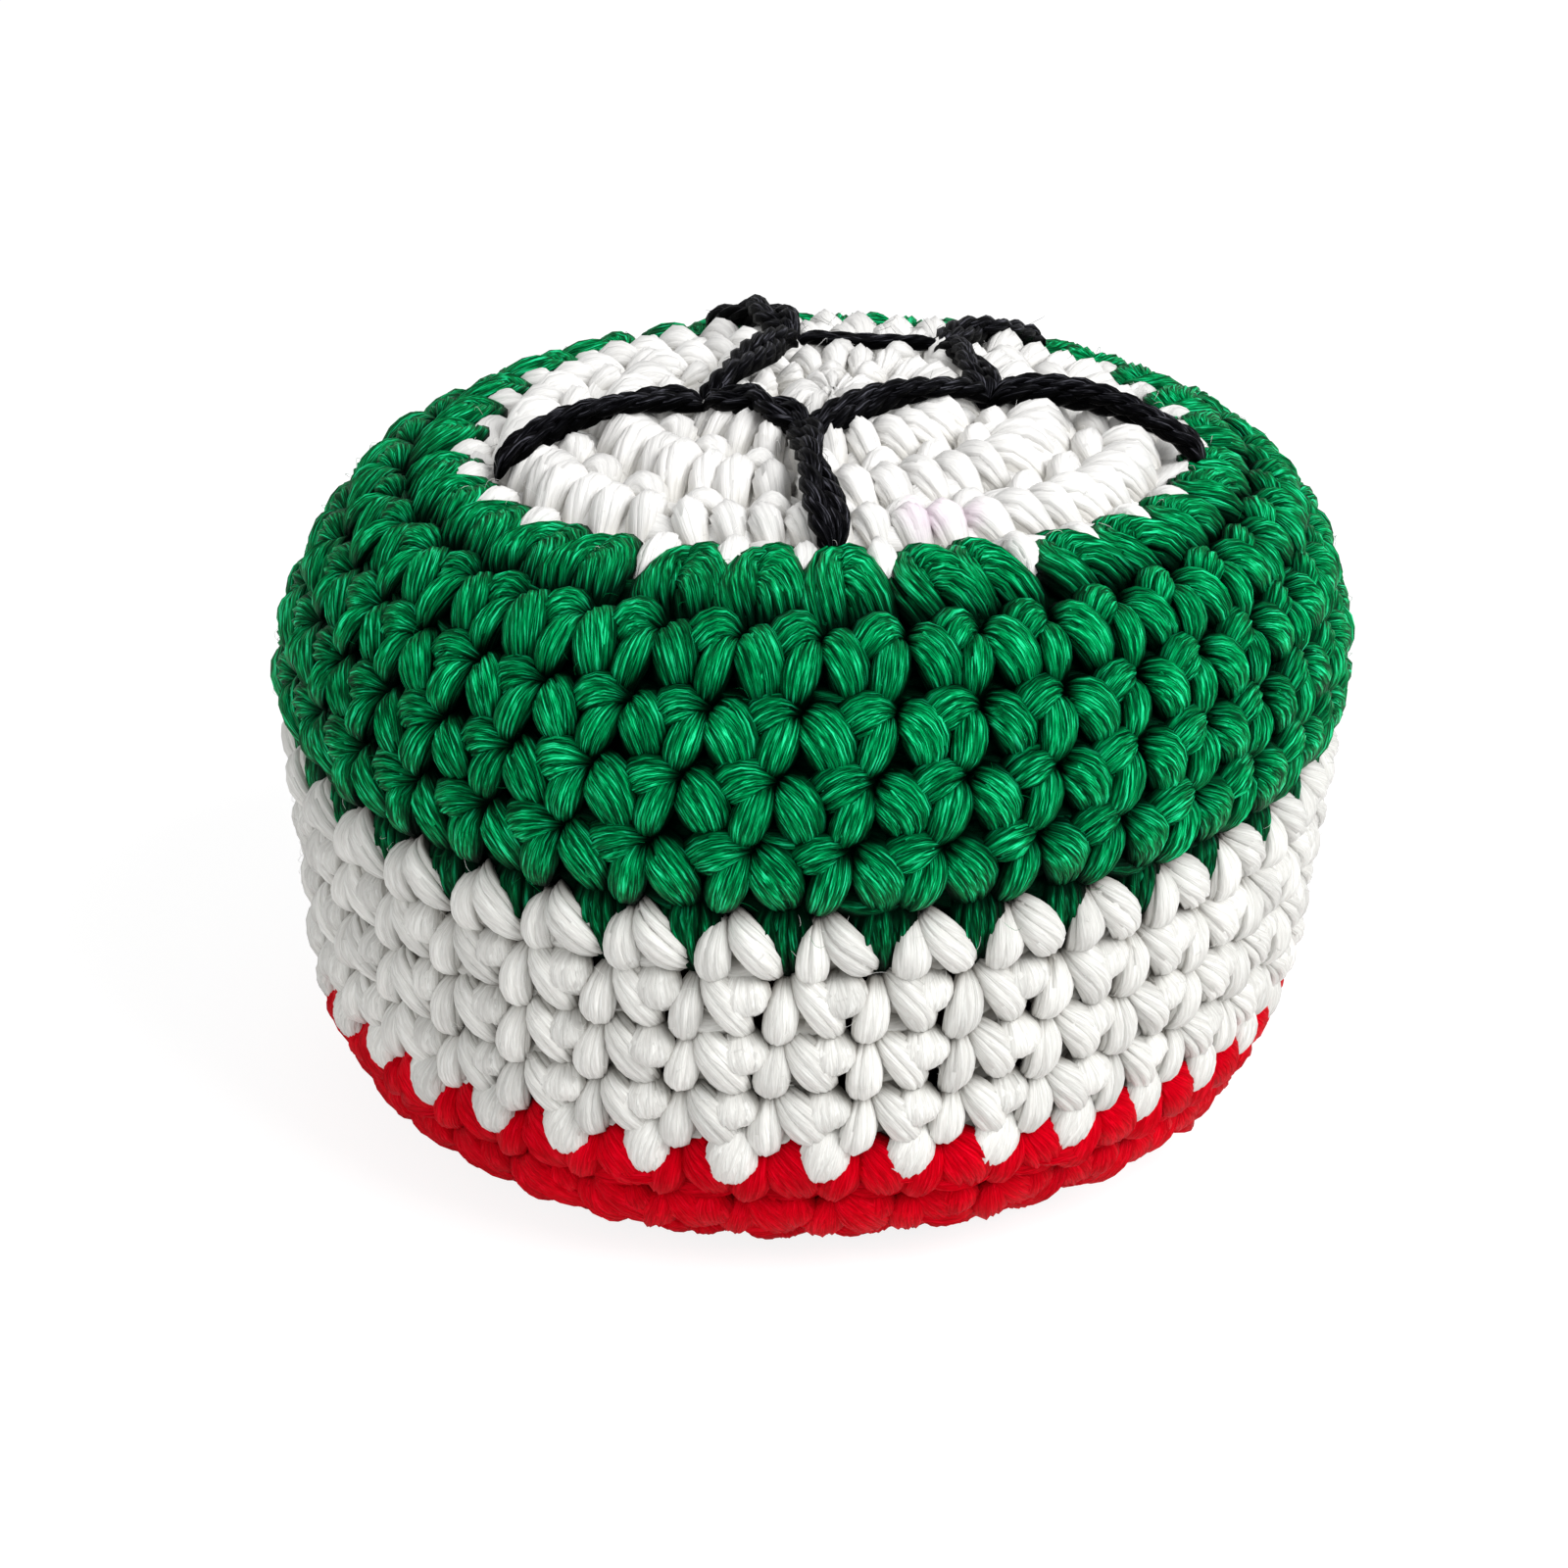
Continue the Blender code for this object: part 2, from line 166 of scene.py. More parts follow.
@dataclass
class Outline:
    """The side view of half the bag, and the lean and bulges that use gave it.

    From the crown down it is a low dome, a round shoulder, a side that narrows to the
    foot, and a flat base. The bag leans about lean_height. Nudge is how far from a
    place its slope is read.
    """

    widest_radius: float = 30.0 * MM
    widest_height: float = 26.5 * MM
    shoulder_reach: float = 9.4 * MM
    shoulder_rise: float = 12.5 * MM
    crown_rise: float = 3.4 * MM
    base_inset: float = 13.2 * MM
    side_drop: float = 10.1 * MM
    side_lean: float = 2.0 * MM
    base_curve_reach: float = 14.9 * MM
    lean_right: float = 0.046
    lean_front: float = 0.004
    lean_height: float = 21.0 * MM
    left_bulge: float = 0.65 * MM
    left_bulge_length: float = 39.0 * MM
    left_bulge_spread: float = 9.0 * MM
    left_bulge_turn: float = math.radians(-88.0)
    left_bulge_width: float = math.radians(32.0)
    foot_bulge: float = 0.5 * MM
    foot_bulge_length: float = 62.0 * MM
    foot_bulge_spread: float = 4.5 * MM
    steps: int = 200
    nudge: float = 0.4 * MM

    def __post_init__(self) -> None:
        """Trace the outline and measure the length along it."""
        crown_radius = self.widest_radius - self.shoulder_reach
        shoulder_height = self.widest_height + self.shoulder_rise
        base_radius = self.widest_radius - self.base_inset
        part = np.arange(self.steps) / self.steps
        arc = 0.5 * np.pi * part
        dome = (crown_radius * part, shoulder_height + self.crown_rise * (1 - part ** 2))
        shoulder = (
            crown_radius + self.shoulder_reach * np.sin(arc),
            self.widest_height + self.shoulder_rise * np.cos(arc),
        )
        ends = np.array((
            (self.widest_radius, self.widest_height),
            (self.widest_radius - self.side_lean, self.widest_height - self.side_drop),
            (base_radius + self.base_curve_reach, 0.0),
            (base_radius, 0.0),
        ))
        side = tuple(curve(ends, part).T)
        base = (base_radius * (1 - part), 0 * part)
        self.radii = np.concatenate([dome[0], shoulder[0], side[0], base[0], [0.0]])
        self.heights = np.concatenate([dome[1], shoulder[1], side[1], base[1], [0.0]])
        legs = np.hypot(np.diff(self.radii), np.diff(self.heights))
        self.lengths = np.concatenate([[0.0], np.cumsum(legs)])
        self.total = float(self.lengths[-1])

    def at(self, length: np.ndarray) -> tuple:
        """Read the outline.

        Args:
            length: lengths along the outline.

        Returns:
            The radii, the heights, and the outward normals' two parts.
        """
        radius = np.interp(length, self.lengths, self.radii)
        height = np.interp(length, self.lengths, self.heights)
        before, after = length - self.nudge, length + self.nudge
        run = np.interp(after, self.lengths, self.radii) - np.interp(before, self.lengths, self.radii)
        rise = np.interp(after, self.lengths, self.heights) - np.interp(before, self.lengths, self.heights)
        size = np.maximum(np.hypot(run, rise), LEAST_SPAN)
        return radius, height, -rise / size, run / size

    def place(self, turn: np.ndarray, length: np.ndarray, depth: np.ndarray) -> np.ndarray:
        """Place points by their turn, length along the outline and depth below it.

        Args:
            turn: turns round the axis, in radians from the front to the right.
            length: lengths along the outline.
            depth: depths below the outline.

        Returns:
            The points, one to a row.
        """
        radius, height, out, up = self.at(np.abs(length))
        off = np.angle(np.exp(1j * (turn - self.left_bulge_turn))) / self.left_bulge_width
        left = np.exp(-off ** 2 - ((length - self.left_bulge_length) / self.left_bulge_spread) ** 2)
        foot = np.exp(-((length - self.foot_bulge_length) / self.foot_bulge_spread) ** 2)
        depth = depth - self.left_bulge * left - self.foot_bulge * foot
        radius = (radius - depth * out) * np.sign(length)
        height = np.maximum(height - depth * up, 0.0)
        x, y = radius * np.sin(turn), -radius * np.cos(turn)
        lean = height - self.lean_height
        return np.stack([x + self.lean_right * lean, y - self.lean_front * lean, height], axis=-1)

    def from_above(self, x: np.ndarray, y: np.ndarray) -> tuple:
        """Find places that are seen from above, on the crown or the shoulder.

        Args:
            x: how far they lie to the right of the middle.
            y: how far they lie behind it.

        Returns:
            Their turns and their lengths along the outline.
        """
        upper = 2 * self.steps
        length = np.interp(np.hypot(x, y), self.radii[:upper], self.lengths[:upper])
        return np.arctan2(x, -y), length

    def inner_curve(self, depth: float) -> tuple:
        """Trace the curve that lies at a depth inside the outline.

        Args:
            depth: the depth.

        Returns:
            Lengths along the outline, and the curve's own run and radii there.
        """
        lengths = np.linspace(0.0, self.total, 4 * self.steps)
        radius, height, out, up = self.at(lengths)
        radius, height = radius - depth * out, height - depth * up
        run = np.concatenate([[0.0], np.cumsum(np.hypot(np.diff(radius), np.diff(height)))])
        return lengths, run, np.maximum(radius, 0.0)


class Blank:
    """A unit ply, a small ball whose rings are read as sections along the ply.

    Crowding is how much closer the sections stand at the ends, and taper how early a
    thread narrows there.
    """

    crowding: float = 0.8
    taper: float = 0.3

    def __init__(self, sides: int, sections: int) -> None:
        """Make the ball and read where each of its points lies.

        Args:
            sides: the points round a section.
            sections: the bands along the ply.
        """
        ball = bmesh.new()
        bmesh.ops.create_uvsphere(ball, u_segments=sides, v_segments=sections, radius=1.0)
        ball.loops.layers.uv.new("yarn")
        ball.verts.layers.float.new("painted_shade")
        ball.verts.layers.float.new("tint")
        self.data = bpy.data.meshes.new("blank")
        ball.to_mesh(self.data)
        ball.free()
        flat = np.empty(3 * len(self.data.vertices))
        self.data.vertices.foreach_get("co", flat)
        self.ball = flat.reshape(-1, 3)
        self.corners = np.empty(len(self.data.loops), dtype=np.int32)
        self.data.loops.foreach_get("vertex_index", self.corners)
        round_part = np.clip((1 - self.ball[:, 2]) / 2, 0.0, 1.0)
        even_part = np.arccos(np.clip(self.ball[:, 2], -1.0, 1.0)) / np.pi
        self.part = self.crowding * round_part + (1 - self.crowding) * even_part
        self.angle = np.mod(np.arctan2(self.ball[:, 1], self.ball[:, 0]), 2 * np.pi)

    def spindle(self, radius: float) -> np.ndarray:
        """Give the radii along a thread that narrows towards both ends."""
        return radius * np.sin(np.pi * self.part) ** self.taper

    def bowed(self, reach: float, way: float, bow: float, thin: np.ndarray) -> tuple:
        """Lay the blank along a bowed line on a flat ground.

        Args:
            reach: the line's length.
            way: its direction, in radians.
            bow: how far its middle goes to the side.
            thin: the radii along it.

        Returns:
            The points' two distances from the line's start.
        """
        side = bow * np.sin(np.pi * self.part) + thin * np.cos(self.angle)
        return (reach * self.part * math.cos(way) - side * math.sin(way),
                reach * self.part * math.sin(way) + side * math.cos(way))


class Heap:
    """Collects loops, strands, fibres or pellets and makes one piece of them.

    Fibre_uv is how much of the yarn map a stray fibre covers.
    """

    fibre_uv: tuple = (0.1, 0.01)

    def __init__(self, mesh: bmesh.types.BMesh | None = None) -> None:
        """Start empty, or from a mesh."""
        self.mesh = bmesh.new() if mesh is None else mesh

    def add(self, blank: Blank, points: np.ndarray, uv: np.ndarray, painted_shade: np.ndarray,
            tint: float) -> None:
        """Add one shape.

        Args:
            blank: the blank that is moved to the shape.
            points: the shape's points.
            uv: their places along and round the yarn.
            painted_shade: how deep each point lies among the loops, from 0 to 1, by which its colour is
                darkened as painted shade.
            tint: how much lighter or darker the shape is, from -1 to 1.
        """
        data = blank.data
        data.vertices.foreach_set("co", points.ravel())
        data.uv_layers["yarn"].data.foreach_set("uv", uv[blank.corners].ravel())
        data.attributes["painted_shade"].data.foreach_set("value", np.clip(painted_shade, 0.0, 1.0))
        data.attributes["tint"].data.foreach_set("value", np.full(len(points), tint))
        self.mesh.from_mesh(data)

    def add_fibre(self, blank: Blank, points: np.ndarray, tint: float) -> None:
        """Add one stray fibre, too thin to show fibre lines of its own."""
        uv = np.stack([blank.part, blank.angle], axis=-1) * self.fibre_uv
        self.add(blank, points, uv, np.zeros(len(points)), tint)

    def to_object(self, name: str, material: bpy.types.Material) -> bpy.types.Object:
        """Make the smooth object, with its faces outwards.

        Args:
            name: the piece's name.
            material: its finish.

        Returns:
            The object.
        """
        if self.mesh.calc_volume(signed=True) < 0:
            bmesh.ops.reverse_faces(self.mesh, faces=self.mesh.faces)
        obj = new_object(name, self.mesh, material)
        obj.data.shade_smooth()
        return obj


@dataclass(frozen=True)
class YarnFinish:
    """Mercerised cotton yarn, plied and crocheted.

    Mercerising makes the fibres round and straight, so that the yarn has a silky
    sheen along its plies. Its fine bright fibre lines are painted highlights and its
    dark creases painted shade. Shades are the yarn's own colours from between its
    fibres to their tops, darkened between them as painted shade and brightened on
    top as painted highlight, and deep is the painted shade colour of its creases and
    of places deep among its loops. Evenness is how far the plies run into each other,
    which makes their creases shallow, and fuzz the stray fibres to a stitch. Stains
    are round marks, each with its place, its reach and its colour's share.
    """

    name: str
    shades: tuple
    deep: str
    roughness: float
    sheen: float
    specular: float
    shade_stops: tuple = (0.4, 0.49, 0.57, 0.66)
    roughness_swing: float = 0.12
    fibre_bump: float = 0.9
    fibre_relief: float = 0.12 * MM
    # Real fibres are 0.015 mm thick, too fine to show, so bundles of them are drawn.
    fibre_gap: float = 0.14 * MM
    fibre_run: float = 1.5 * MM
    fibre_slant: float = math.radians(9.0)
    tint_share: float = 0.09
    painted_shade_start: float = 0.1
    painted_shade_end: float = 0.8
    evenness: float = 1.35
    fuzz: float = 6.0
    stains: tuple = ()
    stain_colour: str = "#E3B9DC"
    stain_patch: float = 1.111 * MM

    def stained(self, tree: bpy.types.NodeTree, colour: bpy.types.NodeSocket) -> bpy.types.NodeSocket:
        """Lay the stains over a colour, with ragged edges.

        Args:
            tree: the material's tree.
            colour: the colour.

        Returns:
            The stained colour.
        """
        place = add_node(tree, "ShaderNodeTexCoord")
        patch = add_node(
            tree, "ShaderNodeTexNoise", {"Scale": 1 / self.stain_patch, "Detail": 2.0},
            {"Vector": place.outputs["Object"]},
        )
        for spot, reach, share in self.stains:
            away = add_node(
                tree, "ShaderNodeVectorMath", {"operation": "DISTANCE", 1: spot},
                {0: place.outputs["Object"]},
            )
            ragged = add_node(
                tree, "ShaderNodeMath", {"operation": "MULTIPLY_ADD", 1: -reach},
                {0: patch.outputs[0], 2: away.outputs["Value"]},
            )
            mask = add_node(
                tree, "ShaderNodeMapRange",
                {"interpolation_type": "SMOOTHSTEP", "From Min": 0.0, "From Max": reach,
                 "To Min": share, "To Max": 0.0},
                {"Value": ragged.outputs[0]},
            )
            mixed = add_node(
                tree, "ShaderNodeMix", {"data_type": "RGBA", 7: linear(self.stain_colour)},
                {0: mask.outputs[0], 6: colour},
            )
            colour = mixed.outputs[2]
        return colour

    def fibre_lines(self, tree: bpy.types.NodeTree) -> bpy.types.NodeSocket:
        """Draw the fibres along the yarn, slanted by its twist.

        Args:
            tree: the material's tree.

        Returns:
            How high the fibres stand, from 0 to 1.
        """
        uv = add_node(tree, "ShaderNodeUVMap", {"uv_map": "yarn"})
        laid = add_node(
            tree, "ShaderNodeMapping",
            {"vector_type": "TEXTURE", "Rotation": (0.0, 0.0, self.fibre_slant),
             "Scale": (self.fibre_run / UV_UNIT, self.fibre_gap / UV_UNIT, 1.0)},
            {"Vector": uv.outputs[0]},
        )
        fibres = add_node(
            tree, "ShaderNodeTexNoise",
            {"Scale": 1.0, "Detail": 3.0, "Roughness": 0.6, "Distortion": 0.35},
            {"Vector": laid.outputs[0]},
        )
        return fibres.outputs[0]

    def dye_and_painted_light(self, tree: bpy.types.NodeTree, fibres: bpy.types.NodeSocket) -> bpy.types.NodeSocket:
        """Colour the yarn by its fibres, with painted shade between them and painted highlight on their
        tops, by painted shade in its creases, and by each ply's own tint.

        Args:
            tree: the material's tree.
            fibres: how high the fibres stand.

        Returns:
            The colour.
        """
        painted_shade = add_node(tree, "ShaderNodeAttribute", {"attribute_name": "painted_shade"})
        tint = add_node(tree, "ShaderNodeAttribute", {"attribute_name": "tint"})
        # Painted shade between the fibres and painted highlight on their tops, over the yarn's own
        # colours.
        shade = add_node(tree, "ShaderNodeValToRGB", {}, {"Fac": fibres})
        ramp = shade.color_ramp
        while len(ramp.elements) < len(self.shades):
            ramp.elements.new(0.5)
        for element, stop, code in zip(ramp.elements, self.shade_stops, self.shades):
            element.position, element.color = stop, linear(code)
        # Painted shade: creases and places deep among the loops are mixed towards the deep colour.
        painted_shade_mask = add_node(
            tree, "ShaderNodeMapRange",
            {"interpolation_type": "SMOOTHSTEP", "From Min": self.painted_shade_start, "From Max": self.painted_shade_end},
            {"Value": painted_shade.outputs["Fac"]},
        )
        painted_shade_mixed = add_node(
            tree, "ShaderNodeMix", {"data_type": "RGBA", 7: linear(self.deep)},
            {0: painted_shade_mask.outputs[0], 6: shade.outputs[0]},
        )
        value = add_node(
            tree, "ShaderNodeMath", {"operation": "MULTIPLY_ADD", 1: self.tint_share, 2: 1.0},
            {0: tint.outputs["Fac"]},
        )
        coloured = add_node(
            tree, "ShaderNodeHueSaturation", {}, {"Value": value.outputs[0], "Color": painted_shade_mixed.outputs[2]}
        )
        return coloured.outputs[0]

    def material(self) -> bpy.types.Material:
        """Build the material.

        Returns:
            The material.
        """
        material, tree, shader = new_material(self.name)
        fibres = self.fibre_lines(tree)
        bump = add_node(
            tree, "ShaderNodeBump", {"Strength": self.fibre_bump, "Distance": self.fibre_relief},
            {"Height": fibres},
        )
        rough = add_node(
            tree, "ShaderNodeMapRange",
            {"To Min": self.roughness + self.roughness_swing,
             "To Max": self.roughness - self.roughness_swing},
            {"Value": fibres},
        )
        tree.links.new(self.stained(tree, self.dye_and_painted_light(tree, fibres)), shader.inputs["Base Color"])
        tree.links.new(bump.outputs[0], shader.inputs["Normal"])
        tree.links.new(rough.outputs[0], shader.inputs["Roughness"])
        shader.inputs["Metallic"].default_value = 0.0
        shader.inputs["Specular IOR Level"].default_value = self.specular
        shader.inputs["Specular Tint"].default_value = linear(self.shades[-1])
        shader.inputs["Sheen Weight"].default_value = self.sheen
        shader.inputs["Sheen Roughness"].default_value = 0.35
        return material


# Bleached cotton is matt and bright, and the painted shade in its creases is no darker than a warm grey.
WHITE_COTTON = YarnFinish(
    "white_mercerised_cotton", ("#CDCCC8", "#D6D5D1", "#DDDDD9", "#E5E5E2"), "#88837A",
    0.6, 0.1, 0.2, fibre_bump=0.6, painted_shade_start=0.36, painted_shade_end=1.1,
)
# The crown's is the same yarn, painted lighter, with paler painted shade in its creases, as painted light
# from above, so that it is nearly white throughout.
CROWN_COTTON_PAINTED_LIGHTER = replace(
    WHITE_COTTON, name="crown_cotton_painted_lighter", deep="#DFDDD8", painted_shade_start=0.6, evenness=1.45,
    shades=("#E4E3E1", "#EAE9E7", "#EEEDEB", "#F2F1EF"),
    stains=(
        ((5.9 * MM, -14.8 * MM, 40.6 * MM), 1.3 * MM, 0.3),
        ((8.0 * MM, -14.4 * MM, 40.4 * MM), 1.0 * MM, 0.26),
    ),
)
# Dyed green, the cotton shows bright fibre lines, which are painted highlights, and creases nearly black,
# which are painted shade.
GREEN_COTTON = YarnFinish(
    "green_mercerised_cotton", ("#00381B", "#006A37", "#00A65C", "#2CE8A2"), "#000803",
    0.5, 0.0, 0.1, painted_shade_start=0.02, painted_shade_end=0.66, evenness=1.3, fuzz=2.0,
)
# The red is dense and even. Its plies run into each other, and the painted shade in its creases stays red.
RED_COTTON = YarnFinish(
    "red_mercerised_cotton", ("#AE000E", "#C20013", "#D00017", "#DC0A24"), "#84000A",
    0.55, 0.0, 0.08, painted_shade_start=0.35, painted_shade_end=1.1, evenness=1.9, fuzz=0.0,
)
# The black yarn's fibre tops show as fine grey lines, which are painted highlights.
BLACK_COTTON = YarnFinish(
    "black_cotton_painted_highlights", ("#010102", "#070709", "#1C1C20", "#54545C"), "#010101",
    0.45, 0.0, 0.09, fibre_run=1.6 * MM, painted_shade_end=0.6,
)
# The pouch's thread is brown and dull, a little paler than its cloth, with painted highlights on its fibre
# tops and painted shade in its creases, like the black yarn's.
SEWING_THREAD = replace(
    BLACK_COTTON, name="brown_sewing_thread", deep="#0A0504",
    shades=("#1C100D", "#2C1A16", "#3C2620", "#5A3F36"),
)


@dataclass(frozen=True)
class LoopShape:
    """One kind of loop in a stitch, from where it leaves its hole.

    Its path runs from the first to the last of four points and bends towards the two
    between. Points are (across, down): across in stitches, to the right, and down in
    rounds. Width and thickness are those of a stitch of full size, and depths are those
    of the loop's middle line. Core is the share of its girth that its plump core fills.
    Belly is how far the widest place lies towards the end, taper how early the loop
    narrows towards its ends, and fall how late it dips there. Twist turns the plies
    round it, and follow is how much of the way to the next round's hole its end goes
    along with it.
    """

    path: tuple
    width: float
    thickness: float = 2.15 * MM
    start_depth: float = 1.9 * MM
    crest_depth: float = 0.95 * MM
    end_depth: float = 1.9 * MM
    plies: int = 5
    core: float = 0.8
    belly: float = 1.0
    taper: float = 0.38
    fall: float = 2.6
    twist: float = 0.3
    follow: float = 0.0


@dataclass(frozen=True)
class Stitch:
    """The loops of a stitch that show: its front loop, its right leg and its left leg."""

    front: LoopShape
    right: LoopShape
    left: LoopShape


# Green: a fan lies to the left, over an upright left leg and a right leg that leans.
FAN = LoopShape(
    path=((0.08, 0.0), (-0.16, -0.13), (-0.44, -0.06), (-0.66, 0.44)), width=3.05 * MM,
    crest_depth=1.05 * MM, end_depth=2.4 * MM, plies=6, belly=1.45, taper=0.45, twist=-0.3,
)
LEFT_LEG = LoopShape(
    path=((-0.05, -0.04), (-0.1, 0.26), (-0.14, 0.62), (-0.1, 1.02)), width=2.35 * MM,
    plies=4, belly=1.05, taper=0.33, twist=0.25, follow=1.0,
)
RIGHT_LEG = LoopShape(
    path=((0.03, -0.08), (0.28, 0.02), (0.46, 0.44), (0.54, 0.98)), width=2.95 * MM,
    crest_depth=0.9 * MM, belly=1.0, taper=0.33, twist=0.4, follow=0.6,
)
GREEN_STITCH = Stitch(FAN, RIGHT_LEG, LEFT_LEG)

# Lower white: a short puff beside two steep legs. At the band's upper edge the puffs
# are green, the last loops of the green yarn, and hang into the white as teeth.
PUFF = LoopShape(
    path=((-0.45, -0.16), (-0.44, 0.1), (-0.42, 0.36), (-0.38, 0.7)), width=3.15 * MM,
    start_depth=2.1 * MM, crest_depth=1.05 * MM, end_depth=2.1 * MM, core=1.0, belly=0.9,
    taper=0.42, twist=-0.2,
)
WHITE_LEFT = replace(
    LEFT_LEG, path=((0.0, -0.04), (-0.03, 0.34), (-0.06, 0.72), (-0.06, 1.13)), width=2.1 * MM,
    belly=1.15, taper=0.3, crest_depth=0.9 * MM,
)
WHITE_RIGHT = replace(
    RIGHT_LEG, path=((0.07, -0.12), (0.28, 0.08), (0.5, 0.5), (0.6, 1.02)),
    width=2.25 * MM, taper=0.32,
)
WHITE_STITCH = Stitch(PUFF, WHITE_RIGHT, WHITE_LEFT)
GREEN_TOOTH = replace(
    PUFF, path=((-0.36, -0.32), (-0.4, 0.1), (-0.34, 0.56), (-0.22, 1.08)), width=3.9 * MM,
    crest_depth=1.6 * MM, end_depth=2.6 * MM, core=0.85, plies=6, belly=0.75,
)
TOOTHED_STITCH = Stitch(
    GREEN_TOOTH,
    replace(
        WHITE_RIGHT, path=((0.07, 0.0), (0.22, 0.14), (0.46, 0.52), (0.62, 1.02)), width=2.2 * MM,
        crest_depth=0.7 * MM, taper=0.27, follow=0.0,
    ),
    replace(
        WHITE_LEFT, path=((0.0, 0.04), (-0.05, 0.36), (-0.06, 0.7), (-0.02, 1.1)),
        crest_depth=0.75 * MM, follow=0.0,
    ),
)

# The last white loops hang into the red as pointed teeth.
HANGING_TOOTH = LoopShape(
    path=((-0.3, -0.46), (-0.4, -0.1), (-0.38, 0.18), (-0.32, 0.52)), width=2.7 * MM,
    start_depth=1.6 * MM, crest_depth=0.75 * MM, end_depth=1.2 * MM, plies=6, core=0.95, taper=0.24,
    twist=-0.7,
)

# Crown: plump lumps side by side, with flat front loops between the rounds.
CROWN_LEFT = LoopShape(
    path=((-0.22, -0.1), (-0.22, 0.12), (-0.08, 0.44), (0.1, 0.84)), width=2.6 * MM,
    end_depth=3.0 * MM, plies=6, core=0.9, belly=0.85, taper=0.66, fall=1.5, twist=0.35, follow=0.5,
)
CROWN_RIGHT = replace(CROWN_LEFT, path=((0.24, -0.14), (0.28, 0.08), (0.44, 0.4), (0.62, 0.8)))
CROWN_FRONT = LoopShape(
    path=((0.24, -0.06), (0.04, -0.26), (-0.26, -0.28), (-0.44, 0.1)), width=2.2 * MM,
    crest_depth=1.35 * MM, core=0.95, taper=0.3, twist=-0.3,
)
CROWN_STITCH = Stitch(CROWN_FRONT, CROWN_RIGHT, CROWN_LEFT)

# The crown's edge: its last loops hang between broad green legs, which arch outwards.
CROWN_TOOTH = LoopShape(
    path=((-0.62, -0.34), (-0.52, -0.3), (-0.48, 0.0), (-0.49, 0.3)), width=2.4 * MM,
    crest_depth=0.95 * MM, end_depth=2.4 * MM, core=0.95, belly=0.8, twist=-0.2,
)
EDGE_LEFT = replace(
    LEFT_LEG, path=((0.06, -0.02), (-0.26, -0.14), (-0.34, 0.36), (-0.04, 0.94)), width=3.2 * MM,
    plies=7, taper=0.24, follow=0.3, twist=0.5,
)
EDGE_RIGHT = replace(
    EDGE_LEFT, path=((-0.16, -0.02), (0.14, -0.2), (0.4, 0.24), (0.4, 0.92)), width=3.4 * MM,
    crest_depth=0.85 * MM, twist=0.9,
)
EDGE_STITCH = Stitch(CROWN_TOOTH, EDGE_RIGHT, EDGE_LEFT)

# Red: the same stitch as the lower white's, worked tight and flat.
FLAT_LEG = {"start_depth": 1.5 * MM, "crest_depth": 1.25 * MM, "end_depth": 1.5 * MM, "core": 0.95,
            "taper": 0.26}
FLAT_STITCH = Stitch(
    replace(PUFF, width=3.4 * MM, start_depth=1.6 * MM, crest_depth=1.4 * MM, end_depth=1.6 * MM),
    replace(WHITE_RIGHT, width=3.3 * MM, **FLAT_LEG),
    replace(WHITE_LEFT, width=3.1 * MM, **FLAT_LEG),
)

# Behind the legs of every round: the back of its stitches, a level ring.
INNER_LOOP = LoopShape(
    path=((-0.62, 0.6), (-0.15, 0.6), (0.15, 0.6), (0.62, 0.6)), width=FULL_STITCH, thickness=1.5 * MM,
    start_depth=2.4 * MM, crest_depth=2.2 * MM, end_depth=2.4 * MM, plies=3, twist=0.7,
)
SHORT_INNER_LOOP = replace(INNER_LOOP, path=((-0.4, 0.6), (-0.15, 0.6), (0.15, 0.6), (0.4, 0.6)))


class Yarn(Enum):
    """The four yarns of the shell, from the crown down.

    Each has its name, the node that its rounds stand for, the record's material slot,
    its finish, and its inner loop with that loop's place between two stitches. The
    white band's is short, so that the pouch shows through small holes.
    """

    CROWN = ("crown", "crown_white", "white_yarn", CROWN_COTTON_PAINTED_LIGHTER, INNER_LOOP, 0.34)
    GREEN = ("green", "band_green", "green_yarn", GREEN_COTTON, INNER_LOOP, 0.34)
    WHITE = ("white", "band_white", "white_yarn", WHITE_COTTON, SHORT_INNER_LOOP, 0.2)
    RED = ("red", "base_red", "red_yarn", RED_COTTON, INNER_LOOP, 0.34)

    def __init__(self, label: str, node: str, slot: str, finish: YarnFinish, inner: LoopShape,
                 inner_place: float) -> None:
        """Keep what belongs to the yarn."""
        self.label, self.node, self.slot, self.finish = label, node, slot, finish
        self.inner, self.inner_place = inner, inner_place


@dataclass(frozen=True)
class Round:
    """One round of stitches: the line of its holes, its stitches and its yarn.

    Start is its place along the outline, and turn that of its first hole. Puff is how
    much thicker its loops stand than those of a plain round, and spread how much wider
    they are. Arch is how far the tops of its legs stand out of their holes, from 0
    to 1.
    """

    start: float
    stitches: int
    turn: float
    yarn: Yarn
    stitch: Stitch
    puff: float = 1.0
    spread: float = 1.0
    arch: float = 0.0

    @property
    def pitch(self) -> float:
        """The turn from one stitch to the next."""
        return 2 * math.pi / self.stitches

    def nearest(self, turn: float) -> float:
        """The turn of the hole that lies nearest to a turn."""
        return self.turn + round((turn - self.turn) / self.pitch) * self.pitch


